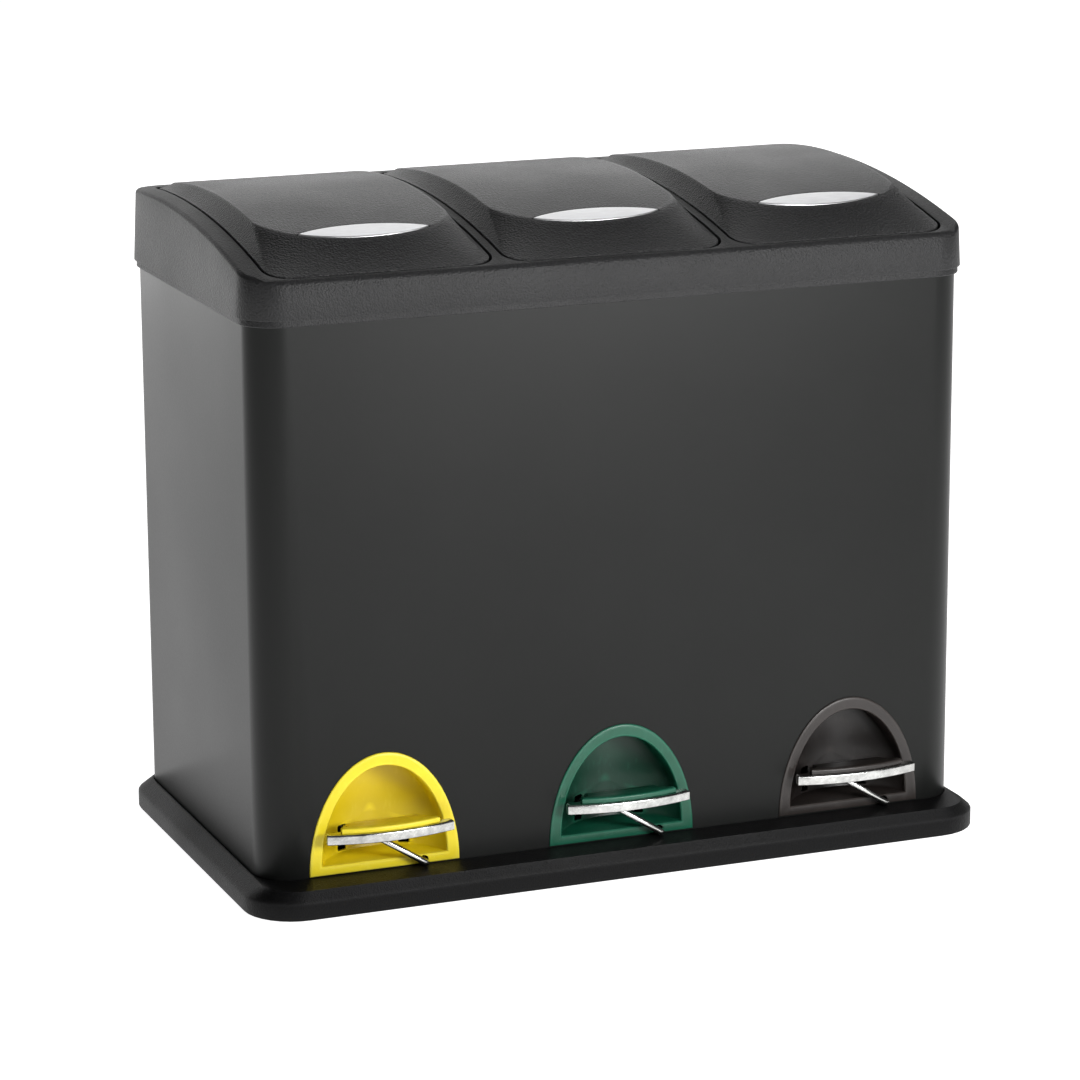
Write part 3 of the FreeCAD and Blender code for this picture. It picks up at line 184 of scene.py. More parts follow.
class Finish:
    """One surface finish: a material, its Principled shader, and calls that add nodes to it."""

    def __init__(self, name, **uniform):
        self.material = bpy.data.materials.new(name)
        self.material.use_nodes = True
        self.tree = self.material.node_tree
        self.shader = self.tree.nodes["Principled BSDF"]
        for socket, amount in uniform.items():
            self.shader.inputs[socket.replace("_", " ")].default_value = amount

    def node(self, kind, settings=None, values=None, output=0):
        """Adds a node: settings first, then its sockets' values or links."""
        made = self.tree.nodes.new(kind)
        for setting, choice in (settings or {}).items():
            setattr(made, setting, choice)
        for socket, given in (values or {}).items():
            self.feed(made.inputs[socket], given)
        return Number(self, made.outputs[output])

    def feed(self, socket, given):
        if isinstance(given, Number):
            self.tree.links.new(given.socket, socket)
        elif socket.type == "RGBA" and len(given) == 3:
            socket.default_value = (*given, 1)
        else:
            socket.default_value = given

    def maths(self, operation, *values):
        return self.node("ShaderNodeMath", {"operation": operation}, dict(enumerate(values)))

    def mix(self, share, first, second):
        """Blends two colours."""
        return self.node("ShaderNodeMix", {"data_type": "RGBA"},
                         {0: share, 6: first, 7: second}, output=2)

    def place(self, stretch=(1, 1, 1)):
        """Position on the piece, in metres times the stretch."""
        spot = self.node("ShaderNodeTexCoord", output=3)
        return self.node("ShaderNodeVectorMath", {"operation": "MULTIPLY"}, {0: spot, 1: stretch})

    def noise(self, scale, detail=2.0, stretch=(1, 1, 1), rough=0.5):
        return self.node("ShaderNodeTexNoise", {},
                         {"Vector": self.place(stretch), "Scale": scale, "Detail": detail, "Roughness": rough})

    def cells(self, scale):
        return self.node("ShaderNodeTexVoronoi", {}, {"Vector": self.place(), "Scale": scale})

    def wear_and_painted_light(self):
        """1 on worn corners that also get a painted sheen, 0 elsewhere and -1 in hollows that get painted shade, as the
        mesh says.
        """
        return self.node("ShaderNodeAttribute", {"attribute_name": "wear_and_painted_light"}, output=2)

    def relief(self, height, deep, strength=1.0):
        """Bump of the given depth in metres."""
        normal = self.node("ShaderNodeBump", {}, {"Height": height, "Distance": deep, "Strength": strength})
        self.feed(self.shader.inputs["Normal"], normal)

    def show(self, **sockets):
        for socket, given in sockets.items():
            self.feed(self.shader.inputs[socket.replace("_", " ")], given)
        return self.material


def grained(name, dark, light, rough, grain, deep, rub_and_painted_sheen=0.0, specular=0.5):
    """Moulded plastic with a spark-eroded grain: fine pits, blotchy sheen, worn corners lightened as wear and painted
    sheen.
    """
    finish = Finish(name, Specular_IOR_Level=specular)
    pits = finish.cells(grain) * 0.6 + finish.noise(grain * 1.3, 3.0).between(0.25, 0.75) * 0.7
    blotch = finish.noise(9.0, 4.0).between(0.35, 0.65)
    rubbed_and_painted_sheen = (finish.wear_and_painted_light() * rub_and_painted_sheen).between(0.0, 1.0)
    tone = finish.mix((pits - 0.25).between(0.0, 0.75), dark, light)
    tone = finish.mix(blotch * 0.25, tone, light)
    # worn corners: a lighter colour for wear and a painted sheen
    tone = finish.mix(rubbed_and_painted_sheen, tone, tuple(min(1.0, 1.7 * c + 0.012) for c in light))
    finish.relief(pits, deep)
    return finish.show(Base_Color=tone,
                       Roughness=(rough + (blotch - 0.5) * 0.07 + (pits - 0.6) * 0.10) - rubbed_and_painted_sheen * 0.12)


base_black = grained("base black", (0.0024, 0.0024, 0.0026), (0.0052, 0.0052, 0.0055), 0.46, 700, 0.00024, 0.4, 0.10)

SKIRT_TOP = 0.0125
LEDGE = 0.0236
FLOOR = 0.004
LIP_HALF = SHELL_HALF + 0.0015
tray = bmesh.new()
rings = [
    outline(0.281, SHELL_FRONT + 0.009, SHELL_BACK - 0.009, 0.018, 0.018, 0.001),
    outline(0.281, SHELL_FRONT + 0.009, SHELL_BACK - 0.009, 0.018, 0.018, 0.010),
    outline(tray_high.x - 0.003, tray_low.y + 0.003, tray_high.y - 0.003, 0.037, 0.037, 0.010),
    outline(tray_high.x - 0.003, tray_low.y + 0.003, tray_high.y - 0.003, 0.037, 0.037, 0.001),
    outline(tray_high.x - 0.0014, tray_low.y + 0.0014, tray_high.y - 0.0014, 0.0386, 0.0386, 0.001),
    outline(tray_high.x - 0.0004, tray_low.y + 0.0004, tray_high.y - 0.0004, 0.0396, 0.0396, 0.0014),
    outline(tray_high.x, tray_low.y, tray_high.y, 0.040, 0.040, 0.0026),
]
ring_wear_and_painted_light = [0, 0, 0, 0, 0, 0.5, 0.2]
BEVEL = ((0, 0, 0), (0.003, 0.09, 0.3), (0.018, 0.155, 0.7), (0.055, 0.215, 0.9), (0.11, 0.265, 0.4),
         (0.25, 0.385, 0), (0.50, 0.605, 0), (0.75, 0.815, 0), (0.93, 0.955, 0.2), (1, 1, 0.5))
for share, rise, rub_and_painted_sheen in BEVEL:
    rings.append(outline(
        tray_high.x + (LIP_HALF - tray_high.x) * share,
        tray_low.y + 0.003 * share,
        tray_high.y + (SHELL_BACK + 0.0015 - tray_high.y) * share,
        0.040 - 0.0115 * share, 0.040 - 0.0115 * share,
        SKIRT_TOP + (LEDGE - SKIRT_TOP) * rise))
    ring_wear_and_painted_light.append(rub_and_painted_sheen)
for half, front, back, corner, level in (
        (0.2908, SHELL_FRONT - 0.0008, SHELL_BACK + 0.0008, 0.0278, LEDGE),
        (0.2908, SHELL_FRONT - 0.0008, SHELL_BACK + 0.0008, 0.0278, 0.021),
        (0.278, SHELL_FRONT + 0.012, SHELL_BACK - 0.012, 0.015, 0.021),
        (0.278, SHELL_FRONT + 0.012, SHELL_BACK - 0.012, 0.015, FLOOR)):
    rings.append(outline(half, front, back, corner, corner, level))
    ring_wear_and_painted_light.append(0.3 if level == LEDGE else 0)
skin(tray, rings, wear_and_painted_light=ring_wear_and_painted_light)
for side in (-1, 0, 1):
    for hand in (-1, 1):
        middle = side * 0.186 + hand * 0.060
        bar(tray, (middle - 0.0015, SHELL_FRONT + 0.063, FLOOR), (middle + 0.0015, SHELL_FRONT + 0.236, 0.036))
piece("tray", tray, base_black, "station", "base_plastic", "base_tray")


# ---- Screws and feet.
# Zinc-plated screws hold the shell's foot flange down from below, and six soft
# rubber feet are pressed into the floor of the tray.

rubber = grained("soft rubber", (0.012, 0.012, 0.012), (0.022, 0.022, 0.022), 0.72, 1600, 0.00006)


def bare_metal(name, dark, light, rough, streak=(1, 1, 1), scale=240.0, deep=0.00002, dull=0.1):
    """Bare steel: drawn or brushed streaks, cloudy dullness and a faint uneven surface."""
    finish = Finish(name, Metallic=1.0)
    lines = finish.noise(scale, 4.0, streak, 0.65)
    cloud = finish.noise(38.0, 3.0).between(0.3, 0.7)
    finish.relief(lines, deep)
    return finish.show(Base_Color=finish.mix(lines.between(0.25, 0.75) * 0.6 + cloud * 0.3, dark, light),
                       Roughness=rough + (lines - 0.5) * 0.16 + cloud * dull)


zinc = bare_metal("zinc plate", (0.38, 0.38, 0.37), (0.6, 0.6, 0.58), 0.3, scale=900.0)


def refinish(node, material):
    """Gives a piece that keeps the shape it was drawn with its finish."""
    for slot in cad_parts[node].material_slots:
        slot.material = material


refinish("base_screws", zinc)
refinish("feet", rubber)


# ---- Outer shell.
# One sheet of 0.8 mm steel in satin anthracite powder coat, bent to a sleeve with
# wide corners, closed by a flat lock seam at the back, with a hole for each recess.

def d_outline(middle, half, low, tall, depth, arc=44, flat=20):
    """Half an ellipse on its flat side, seen from the front; depth may follow x."""
    spots = []
    for i in range(arc + 1):
        angle = math.pi * i / arc
        spots.append((middle - half * math.cos(angle), low + tall * math.sin(angle)))
    for i in range(1, flat):
        spots.append((middle + half - 2 * half * i / flat, low))
    if callable(depth):
        return [Vector((x, depth(x - middle), z)) for x, z in spots]
    return [Vector((x, depth, z)) for x, z in spots]


def carve(bm, cutters):
    """Cuts closed cutter meshes out of a mesh that is still being made."""
    def temporary(mesh_maker):
        mesh = bpy.data.meshes.new("cutting")
        mesh_maker.to_mesh(mesh)
        mesh_maker.free()
        made = bpy.data.objects.new("cutting", mesh)
        bpy.context.scene.collection.objects.link(made)
        return made

    bmesh.ops.remove_doubles(bm, verts=bm.verts, dist=0.000005)
    bmesh.ops.recalc_face_normals(bm, faces=bm.faces)
    body = temporary(bm)
    tools = []
    for cutter in cutters:
        bmesh.ops.recalc_face_normals(cutter, faces=cutter.faces)
        tool = temporary(cutter)
        tools.append(tool)
        step = body.modifiers.new("cut", "BOOLEAN")
        step.operation = "DIFFERENCE"
        step.solver = "EXACT"
        step.object = tool
    bpy.context.view_layer.update()
    result = bmesh.new()
    result.from_mesh(body.evaluated_get(bpy.context.evaluated_depsgraph_get()).to_mesh())
    for used in [body] + tools:
        mesh = used.data
        bpy.data.objects.remove(used)
        bpy.data.meshes.remove(mesh)
    return result


def join(bm, other):
    """Moves one mesh in the making into another."""
    joined = bpy.data.meshes.new("joining")
    other.to_mesh(joined)
    other.free()
    bm.from_mesh(joined)
    bpy.data.meshes.remove(joined)


def rod_cutter(start, end, radius, steps=28):
    """Closed round bar between two points."""
    along = (end - start).normalized()
    side = along.orthogonal().normalized()
    other = along.cross(side)
    maker = bmesh.new()
    skin(maker, [[point + radius * (math.cos(2 * math.pi * i / steps) * side
                                    + math.sin(2 * math.pi * i / steps) * other)
                  for i in range(steps)] for point in (start, end)])
    return maker


PEDAL_PITCH = 0.194
CRANK_OFFSET = 0.031
CRANK_HEIGHT = 0.0268
SIDES = (("left", -1, "yellow"), ("middle", 0, "green"), ("right", 1, "brown"))
SHEET = 0.0008
sleeve = bmesh.new()
skin(sleeve, [
    outline(SHELL_HALF - 0.0004, SHELL_FRONT + 0.0004, SHELL_BACK - 0.0004, 0.0266, 0.0266, shell_low.z, turn=20),
    outline(SHELL_HALF, SHELL_FRONT, SHELL_BACK, 0.027, 0.027, shell_low.z + 0.0006, turn=20),
    outline(SHELL_HALF, SHELL_FRONT, SHELL_BACK, 0.027, 0.027, shell_high.z, turn=20),
    outline(SHELL_HALF - SHEET, SHELL_FRONT + SHEET, SHELL_BACK - SHEET, 0.0262, 0.0262, shell_high.z, turn=20),
    outline(SHELL_HALF - SHEET, SHELL_FRONT + SHEET, SHELL_BACK - SHEET, 0.0262, 0.0262,
            shell_low.z + SHEET, turn=20),
    outline(SHELL_HALF - 0.012, SHELL_FRONT + 0.012, SHELL_BACK - 0.012, 0.015, 0.015, shell_low.z + SHEET, turn=20),
    outline(SHELL_HALF - 0.012, SHELL_FRONT + 0.012, SHELL_BACK - 0.012, 0.015, 0.015, shell_low.z, turn=20),
], closed=True)
cutters = []
for word, side, colour in SIDES:
    hole = bmesh.new()
    skin(hole, [d_outline(side * PEDAL_PITCH, 0.0524, 0.0292, 0.0782, SHELL_FRONT + depth)
                for depth in (-0.004, 0.004)])
    cutters.append(hole)
    notch_x = side * PEDAL_PITCH + CRANK_OFFSET
    cutters.append(rod_cutter(Vector((notch_x, SHELL_FRONT - 0.004, CRANK_HEIGHT)),
                              Vector((notch_x, SHELL_FRONT + 0.004, CRANK_HEIGHT)), 0.004))
sleeve = carve(sleeve, cutters)
bar(sleeve, (-0.007, SHELL_BACK - 0.0002, 0.0286), (0.007, SHELL_BACK + 0.0008, 0.440), 0.0003)

coat = Finish("anthracite powder coat", Specular_IOR_Level=0.15)
peel = coat.noise(1500.0, 2.0) * 0.5 + coat.noise(420.0, 2.0) * 0.5
cloud = coat.noise(5.0, 3.0).between(0.3, 0.7)
dust = coat.noise(2600.0, 1.0).between(0.68, 0.8)
coat.relief(peel, 0.00006)
shell_paint = coat.show(
    Base_Color=coat.mix(dust * 0.5, coat.mix(cloud, (0.0085, 0.0090, 0.0086), (0.0110, 0.0116, 0.0111)),
                        (0.030, 0.031, 0.030)),
    Roughness=0.37 + (cloud - 0.5) * 0.05 + (peel - 0.5) * 0.08)
piece("shell", sleeve, shell_paint, "station", "shell_paint", "outer_shell")


# ---- Toe recesses.
# Three glossy-edged polypropylene bowls, yellow, green and brown, clipped into the
# shell's holes: a D-shaped border outside, a curved back with slots for the arms.

def satin_plastic(name, painted_shade_tone, deep_tone, tone, pale, rough=0.36):
    """Smooth coloured moulding: flow marks, scuffed corners lightened as wear and painted sheen, and painted shade in a
    darker colour where the mesh's mark is below 0.
    """
    finish = Finish(name, Specular_IOR_Level=0.45)
    flow = finish.noise(26.0, 4.0, (1, 1, 2.5)).between(0.3, 0.7)
    fine = finish.noise(1300.0, 2.0)
    scuff = (finish.noise(310.0, 5.0, (1, 1, 0.35)) * 0.7 + finish.noise(60.0, 2.0) * 0.5).between(0.66, 0.8)
    rubbed_and_painted_sheen = (finish.wear_and_painted_light() * 0.6).between(0.0, 1.0)
    finish.relief(fine + scuff * 0.4, 0.00004)
    colour = finish.mix(flow * 0.7, deep_tone, tone)
    # painted shade: the darker first colour inside the bowls, where the mesh's mark is below 0
    colour = finish.mix((finish.wear_and_painted_light() * -1.0 + (flow - 0.5) * 0.2).between(0.1, 1.0), colour, painted_shade_tone)
    # worn corners: a lighter colour for wear and a painted sheen, with real scuffs mixed in
    colour = finish.mix(rubbed_and_painted_sheen * 0.6 + scuff * 0.12, colour, pale)
    return finish.show(Base_Color=colour, Roughness=rough + (flow - 0.5) * 0.08 + scuff * 0.12)


# the first colour of each is painted shade for the inside of the bowl
moulded = {
    "yellow": satin_plastic("yellow moulding", (0.66, 0.50, 0.005), (0.80, 0.63, 0.008),
                            (0.90, 0.74, 0.016), (0.95, 0.88, 0.14)),
    "green": satin_plastic("green moulding", (0.003, 0.036, 0.020), (0.004, 0.076, 0.040),
                           (0.006, 0.108, 0.060), (0.04, 0.22, 0.14)),
    "brown": satin_plastic("brown moulding", (0.0085, 0.0065, 0.0058), (0.017, 0.0135, 0.0120),
                           (0.028, 0.0225, 0.0205), (0.08, 0.07, 0.065)),
}
BOWL_DEEP = 0.033
BOWL_HALF = 0.050
BOWL_LOW = 0.0316
BOWL_TALL = 0.0738
BORDER_HALF = 0.060
BORDER_LOW = 0.0244
BORDER_TALL = 0.091


def bowed(half, deep, less=0.0):
    """Depth of a curved back at a distance from the middle."""
    radius = (half * half + deep * deep) / (2 * deep)

    def depth(x):
        return SHELL_FRONT + deep - radius + math.sqrt(max(radius * radius - x * x, 0)) - less
    return depth


def behind_border(depth):
    """Keeps a curved back from coming out through the border at its ends."""
    return lambda x: max(depth(x), SHELL_FRONT + 0.0009)


def inset_d(middle, half, low, tall, inset, depth):
    return d_outline(middle, half - inset, low + inset, tall - 2 * inset, depth)


for word, side, colour in SIDES:
    middle = side * PEDAL_PITCH
    bowl = bmesh.new()
    back_outer = bowed(0.053, BOWL_DEEP + 0.002)
    back_inner = bowed(0.051, BOWL_DEEP)
    outer = (middle, 0.052, 0.0296, 0.0778)
    edge = (middle, BORDER_HALF, BORDER_LOW, BORDER_TALL)
    inner = (middle, BOWL_HALF, BOWL_LOW, BOWL_TALL)

    def toward_middle(shape, share, depth):
        centre_z = shape[2] + 0.42 * shape[3]
        ring = inset_d(*shape, 0.002, 0.0)
        ring = [Vector((middle + (p.x - middle) * share, 0, centre_z + (p.z - centre_z) * share)) for p in ring]
        return [Vector((p.x, depth(p.x - middle), p.z)) for p in ring]

    shares = (0.12, 0.3, 0.5, 0.7, 0.85)
    rings = [toward_middle(outer, share, back_outer) for share in shares]
    rings += [inset_d(*outer, 0.002, back_outer),
              inset_d(*outer, 0.0006, bowed(0.053, BOWL_DEEP + 0.002, 0.0006)),
              inset_d(*outer, 0.0, bowed(0.053, BOWL_DEEP + 0.002, 0.002)),
              inset_d(*outer, 0.0, SHELL_FRONT - 0.0001)]
    ring_wear_and_painted_light = [0] * len(rings)
    for shape, inset, depth, rub_and_painted_sheen in (
            (edge, 0.0, -0.0001, 0), (edge, 0.0, -0.0006, 0.2), (edge, 0.0004, -0.0011, 0.8),
            (edge, 0.0012, -0.00142, 0.6), (edge, 0.0030, -0.0015, 0), (inner, -0.0026, -0.0015, 0),
            (inner, -0.0010, -0.00135, 0.5), (inner, -0.0002, -0.0006, 0.9), (inner, 0.0, 0.0006, 0.3)):
        rings.append(inset_d(*shape, inset, SHELL_FRONT + depth))
        ring_wear_and_painted_light.append(rub_and_painted_sheen)
    rings += [inset_d(*inner, 0.0, behind_border(bowed(0.051, BOWL_DEEP, 0.0022))),
              inset_d(*inner, 0.0006, behind_border(bowed(0.051, BOWL_DEEP, 0.0007))),
              inset_d(*inner, 0.0022, back_inner)]
    rings += [toward_middle(inner, share, back_inner) for share in reversed(shares)]
    # the bowl's inner rings get negative values: painted shade in the hollow
    ring_wear_and_painted_light += [-0.6, -0.85, -1] + [-1] * (len(rings) - len(ring_wear_and_painted_light) - 3)
    loops = skin(bowl, rings, caps=(False, False), wear_and_painted_light=ring_wear_and_painted_light)
    fan(bowl, loops[0], (middle, back_outer(0), outer[2] + 0.42 * outer[3]), flip=True)
    fan(bowl, loops[-1], (middle, back_inner(0), inner[2] + 0.42 * inner[3]))
    cutters = []
    for hand in (-1, 1):
        slot = bmesh.new()
        slot_x = middle + hand * 0.025
        bar(slot, (slot_x - 0.004, SHELL_FRONT + 0.008, 0.033), (slot_x + 0.004, SHELL_FRONT + 0.042, 0.0535), 0.0008)
        cutters.append(slot)
    notch_x = middle + CRANK_OFFSET
    cutters.append(rod_cutter(Vector((notch_x, SHELL_FRONT - 0.005, CRANK_HEIGHT)),
                              Vector((notch_x, SHELL_FRONT + 0.050, CRANK_HEIGHT)), 0.004))
    piece("recess_" + colour, carve(bowl, cutters), moulded[colour], "station", colour + "_plastic",
          "recess_frame_" + colour, sharp=30)


# ---- Rim.
# One dark grey polypropylene moulding with a coarse grain. It caps the shell, its top
# is arched from front to back, and each lid sits in an opening with its own seat.

ARCH_RADIUS, ARCH_TOP, ARCH_Y = 0.915, 0.5085, SHELL_FRONT + 0.230
RIM_LOW = 0.445
RIM_HALF = SHELL_HALF + 0.0045
RIM_FRONT = SHELL_FRONT - 0.0045
RIM_BACK = SHELL_BACK + 0.0045
LEAN = math.tan(math.radians(2.8))
LID_PITCH = 0.186
LID_HALF = 0.0874
LID_FRONT = SHELL_FRONT + 0.0055
HINGE_Y, HINGE_Z = SHELL_FRONT + 0.281, 0.5032
LID_BACK = HINGE_Y + 0.004
LID_GAP = 0.002
OPEN_BACK = HINGE_Y + 0.0088
CELL_FRONT = SHELL_FRONT + 0.0005
CELL_BACK = OPEN_BACK + 0.0030
CELL_HALF = LID_PITCH / 2
RIM_CORNER = 0.031
RIM_WALL = 0.0030
TUBE_DEEP = 0.0140


def arch(y, drop=0.0):
    radius = ARCH_RADIUS - drop
    return ARCH_TOP - ARCH_RADIUS + math.sqrt(radius * radius - (y - ARCH_Y) ** 2)


def on_arch(drop):
    return lambda x, y: arch(y, drop)


def rim_ring(inset, level):
    """Ring round the rim's drafted outside, moved in; level is a height or a drop below the arch."""
    rows = dict(across=30, along=24, turn=14)

    def shrink(height):
        return inset + max(height - RIM_LOW, 0) * LEAN
    guess = level if level > 0 else arch(0.0, -level)
    base = shrink(guess)
    ring = outline(RIM_HALF - base, RIM_FRONT + base, RIM_BACK - base, RIM_CORNER - base, RIM_CORNER - base,
                   level if level > 0 else on_arch(-level), **rows)
    if level <= 0:
        # each point leans in by its own height
        for point in ring:
            more = (point.z - guess) * LEAN
            centre = Vector((max(RIM_CORNER - RIM_HALF, min(RIM_HALF - RIM_CORNER, point.x)),
                             max(RIM_FRONT + RIM_CORNER, min(RIM_BACK - RIM_CORNER, point.y)), point.z))
            away = point - centre
            if away.length > 0:
                point -= away.normalized() * more
    return ring


def opening_ring(side, grow, drop, square=False):
    front_corner = 0.0 if square else 0.018 + grow
    back_corner = 0.0 if square else 0.004 + grow
    half = CELL_HALF if square else LID_HALF + LID_GAP + grow
    front = CELL_FRONT if square else LID_FRONT - LID_GAP - grow
    back = CELL_BACK if square else OPEN_BACK + grow
    ring = outline(half, front, back, front_corner, back_corner, on_arch(drop), across=10, along=24, turn=10)
    return [point + Vector((side * LID_PITCH, 0, 0)) for point in ring]


rim = bmesh.new()
for side in (-1, 0, 1):
    skin(rim, [
        opening_ring(side, 0, 0.0, square=True),
        opening_ring(side, 0.0012, 0.0),
        opening_ring(side, 0.0003, 0.00025),
        opening_ring(side, 0.0, 0.0009),
        opening_ring(side, 0.0, TUBE_DEEP - 0.0005),
        opening_ring(side, 0.0004, TUBE_DEEP),
        opening_ring(side, 0.0021, TUBE_DEEP),
        opening_ring(side, 0.0025, TUBE_DEEP - 0.0005),
        opening_ring(side, 0.0025, RIM_WALL),
        opening_ring(side, 0, RIM_WALL, square=True),
    ], caps=(False, False), wear_and_painted_light=[0, 0.3, 0.8, 0.4, 0, 0, 0, 0, 0, 0])
    # the lid's seat across the front of the opening
    seat_x = side * LID_PITCH
    bar(rim, (seat_x - 0.062, LID_FRONT - LID_GAP - 0.001, 0.466), (seat_x + 0.062, LID_FRONT + 0.006, 0.475),
        0.0003, top=lambda y: arch(y, 0.0083))


def square_ring(drop):
    return outline(3 * CELL_HALF, CELL_FRONT, CELL_BACK, 0.0, 0.0, on_arch(drop), across=30, along=24, turn=14)


rings = [square_ring(0.0)]
ring_wear_and_painted_light = [0]
for i in range(7):
    angle = math.radians(90 * i / 6)
    round_edge = 0.0034
    rings.append(rim_ring(round_edge * (1 - math.sin(angle)), -round_edge * (1 - math.cos(angle)) - 0.0000001))
    ring_wear_and_painted_light.append((0.1, 0.3, 0.6, 0.8, 0.6, 0.3, 0.1)[i])
STEP = 0.450
for inset, level, rub_and_painted_sheen in ((0.0, STEP + 0.0008, 0.2), (0.0003, STEP + 0.0002, 0.7), (0.0010, STEP, 0.3),
                          (0.0020, STEP, 0), (0.0020, RIM_LOW + 0.0006, 0.2), (0.0024, RIM_LOW, 0.4),
                          (0.0034, RIM_LOW, 0), (0.0035, STEP + 0.002, 0), (0.0025, STEP + 0.0025, 0),
                          (0.0025, -0.0045, 0)):
    rings.append(rim_ring(inset, level))
    ring_wear_and_painted_light.append(rub_and_painted_sheen)
rings.append(square_ring(RIM_WALL))
ring_wear_and_painted_light.append(0)
skin(rim, rings, caps=(False, False), wear_and_painted_light=ring_wear_and_painted_light)
rim_grain = grained("rim grain", (0.0065, 0.0065, 0.0068), (0.020, 0.020, 0.0207), 0.48, 560, 0.00034, 0.5, 0.24)
piece("rim", rim, rim_grain, "station", "rim_plastic", "lid_frame", sharp=32)


# ---- Lids.
# Hollow grey mouldings: a grained, arched panel inside a swept crease, smooth scooped
# flanks, a short lip, and under the back edge a slotted lever and two hinge knuckles.

PANEL_RADIUS, PANEL_TOP, PANEL_Y = 0.660, 0.5178, SHELL_FRONT + 0.185
CREASE_Y = SHELL_FRONT + 0.085
CREASE_BOW = 0.049
CREASE_HALF = LID_HALF - 0.0115
TIP_HALF = 0.0505
LID_ROWS = dict(across=24, along=26, turn=14)
LID_WALL = 0.0025
LEVER_ARM = 0.011
LEVER_HALF_THICK = 0.0015
PIN_BORE = 0.00206
HALF_TURN = math.radians(36)
HALF_CRANK_TURN = math.radians(10.8)


def panel(y, drop=0.0):
    return PANEL_TOP - PANEL_RADIUS + math.sqrt((PANEL_RADIUS - drop) ** 2 - (y - PANEL_Y) ** 2)


def lid_ring(inset, drop):
    return outline(LID_HALF - inset, LID_FRONT + inset, LID_BACK - inset, 0.016 - inset,
                   max(0.003 - inset, 0.0006), on_arch(drop), **LID_ROWS)


def crease_ring(inset, drop):
    """The crease, point for point with a lid ring: ellipse in front, straight sides and back."""
    half = CREASE_HALF - inset
    bow = CREASE_BOW - inset
    tip = TIP_HALF - inset
    back = LID_BACK - 0.001 - inset
    start = math.asin(tip / half)
    spots = []
    across, along, turn = LID_ROWS["across"], LID_ROWS["along"], LID_ROWS["turn"]

    def on_ellipse(angle):
        return half * math.sin(angle), CREASE_Y - bow * math.cos(angle)

    for i in range(across):
        x = tip * (2 * i / across - 1)
        spots.append((x, CREASE_Y - bow * math.sqrt(1 - (x / half) ** 2)))
    for i in range(turn):
        spots.append(on_ellipse(start + (math.pi / 2 - start) * i / turn))
    back_round = 0.003
    for i in range(along):
        spots.append((half, CREASE_Y + (back - back_round - CREASE_Y) * i / along))
    for i in range(turn):
        angle = math.radians(90 * i / turn)
        spots.append((half - back_round * (1 - math.cos(angle)), back - back_round * (1 - math.sin(angle))))
    for i in range(across):
        spots.append(((half - back_round) * (1 - 2 * i / across), back))
    for i in range(turn):
        angle = math.radians(90 + 90 * i / turn)
        spots.append((back_round * (1 + math.cos(angle)) - half, back - back_round * (1 - math.sin(angle))))
    for i in range(along):
        spots.append((-half, back - back_round + (CREASE_Y - back + back_round) * i / along))
    for i in range(turn):
        spots.append(on_ellipse(-math.pi / 2 + (math.pi / 2 - start) * i / turn))
    return [Vector((x, y, panel(y, drop))) for x, y in spots]


def crown_rings(inset, drop, scoop):
    """From the foot of the flanks up over the crease to near the panel's middle."""
    foot = lid_ring(inset + 0.0010, drop)
    crease = crease_ring(inset, drop)
    middle = Vector((0, 0.030, 0))
    flat = []
    for share in (0.012, 0.035, 0.09, 0.2, 0.34, 0.5, 0.66, 0.82, 0.94):
        ring = []
        for point in crease:
            x, y = point.x * (1 - share), point.y + (middle.y - point.y) * share
            ring.append(Vector((x, y, panel(y, drop))))
        flat.append(ring)
    rings, ring_wear_and_painted_light = [foot], [0.15]
    shares = (0.04, 0.12, 0.26, 0.42, 0.58, 0.74, 0.88, 0.97)
    for share in shares:
        ring = []
        for low, high in zip(foot, crease):
            along = high - low
            level = Vector((along.x, along.y, 0))
            out = Vector((-level.x * along.z, -level.y * along.z, level.length_squared))
            dip = scoop * math.sin(math.pi * share) ** 0.8 * min(1.0, level.length / 0.02)
            bend = out.normalized() * dip if out.length > 1e-9 else Vector()
            ring.append(low + along * share - bend)
        rings.append(ring)
        ring_wear_and_painted_light.append(0.6 if share > 0.9 else 0.0)
    # the crease itself is rounded off between the last flank ring and the first flat ring
    rings.append([(before + 2 * edge + after) / 4 for before, edge, after in zip(rings[-1], crease, flat[0])])
    ring_wear_and_painted_light.append(1.0)
    rings += flat
    ring_wear_and_painted_light += [0.6] + [0] * (len(flat) - 1)
    return rings, ring_wear_and_painted_light


def lens(half, front, back, inset, steps=36):
    """Outline of the badge: two arcs that meet in points."""
    def bowed_edge(start, crest):
        points = []
        for i in range(steps + 1):
            share = 2 * i / steps - 1
            points.append((half * share, start + (crest - start) * (1 - share * share) ** 0.85))
        return points
    tips_y, front_y = front
    edge = bowed_edge(tips_y, front_y) + list(reversed(bowed_edge(tips_y, back)))[1:-1]
    count = len(edge)
    if inset:
        moved = []
        for i in range(count):
            before, after = Vector(edge[i - 1]), Vector(edge[(i + 1) % count])
            way = (after - before).normalized()
            shift = inset * (2.2 if i in (0, steps) else 1.0)
            inward = Vector((-way.y, way.x))
            moved.append((edge[i][0] + inward.x * shift, edge[i][1] + inward.y * shift))
        edge = moved
    return edge


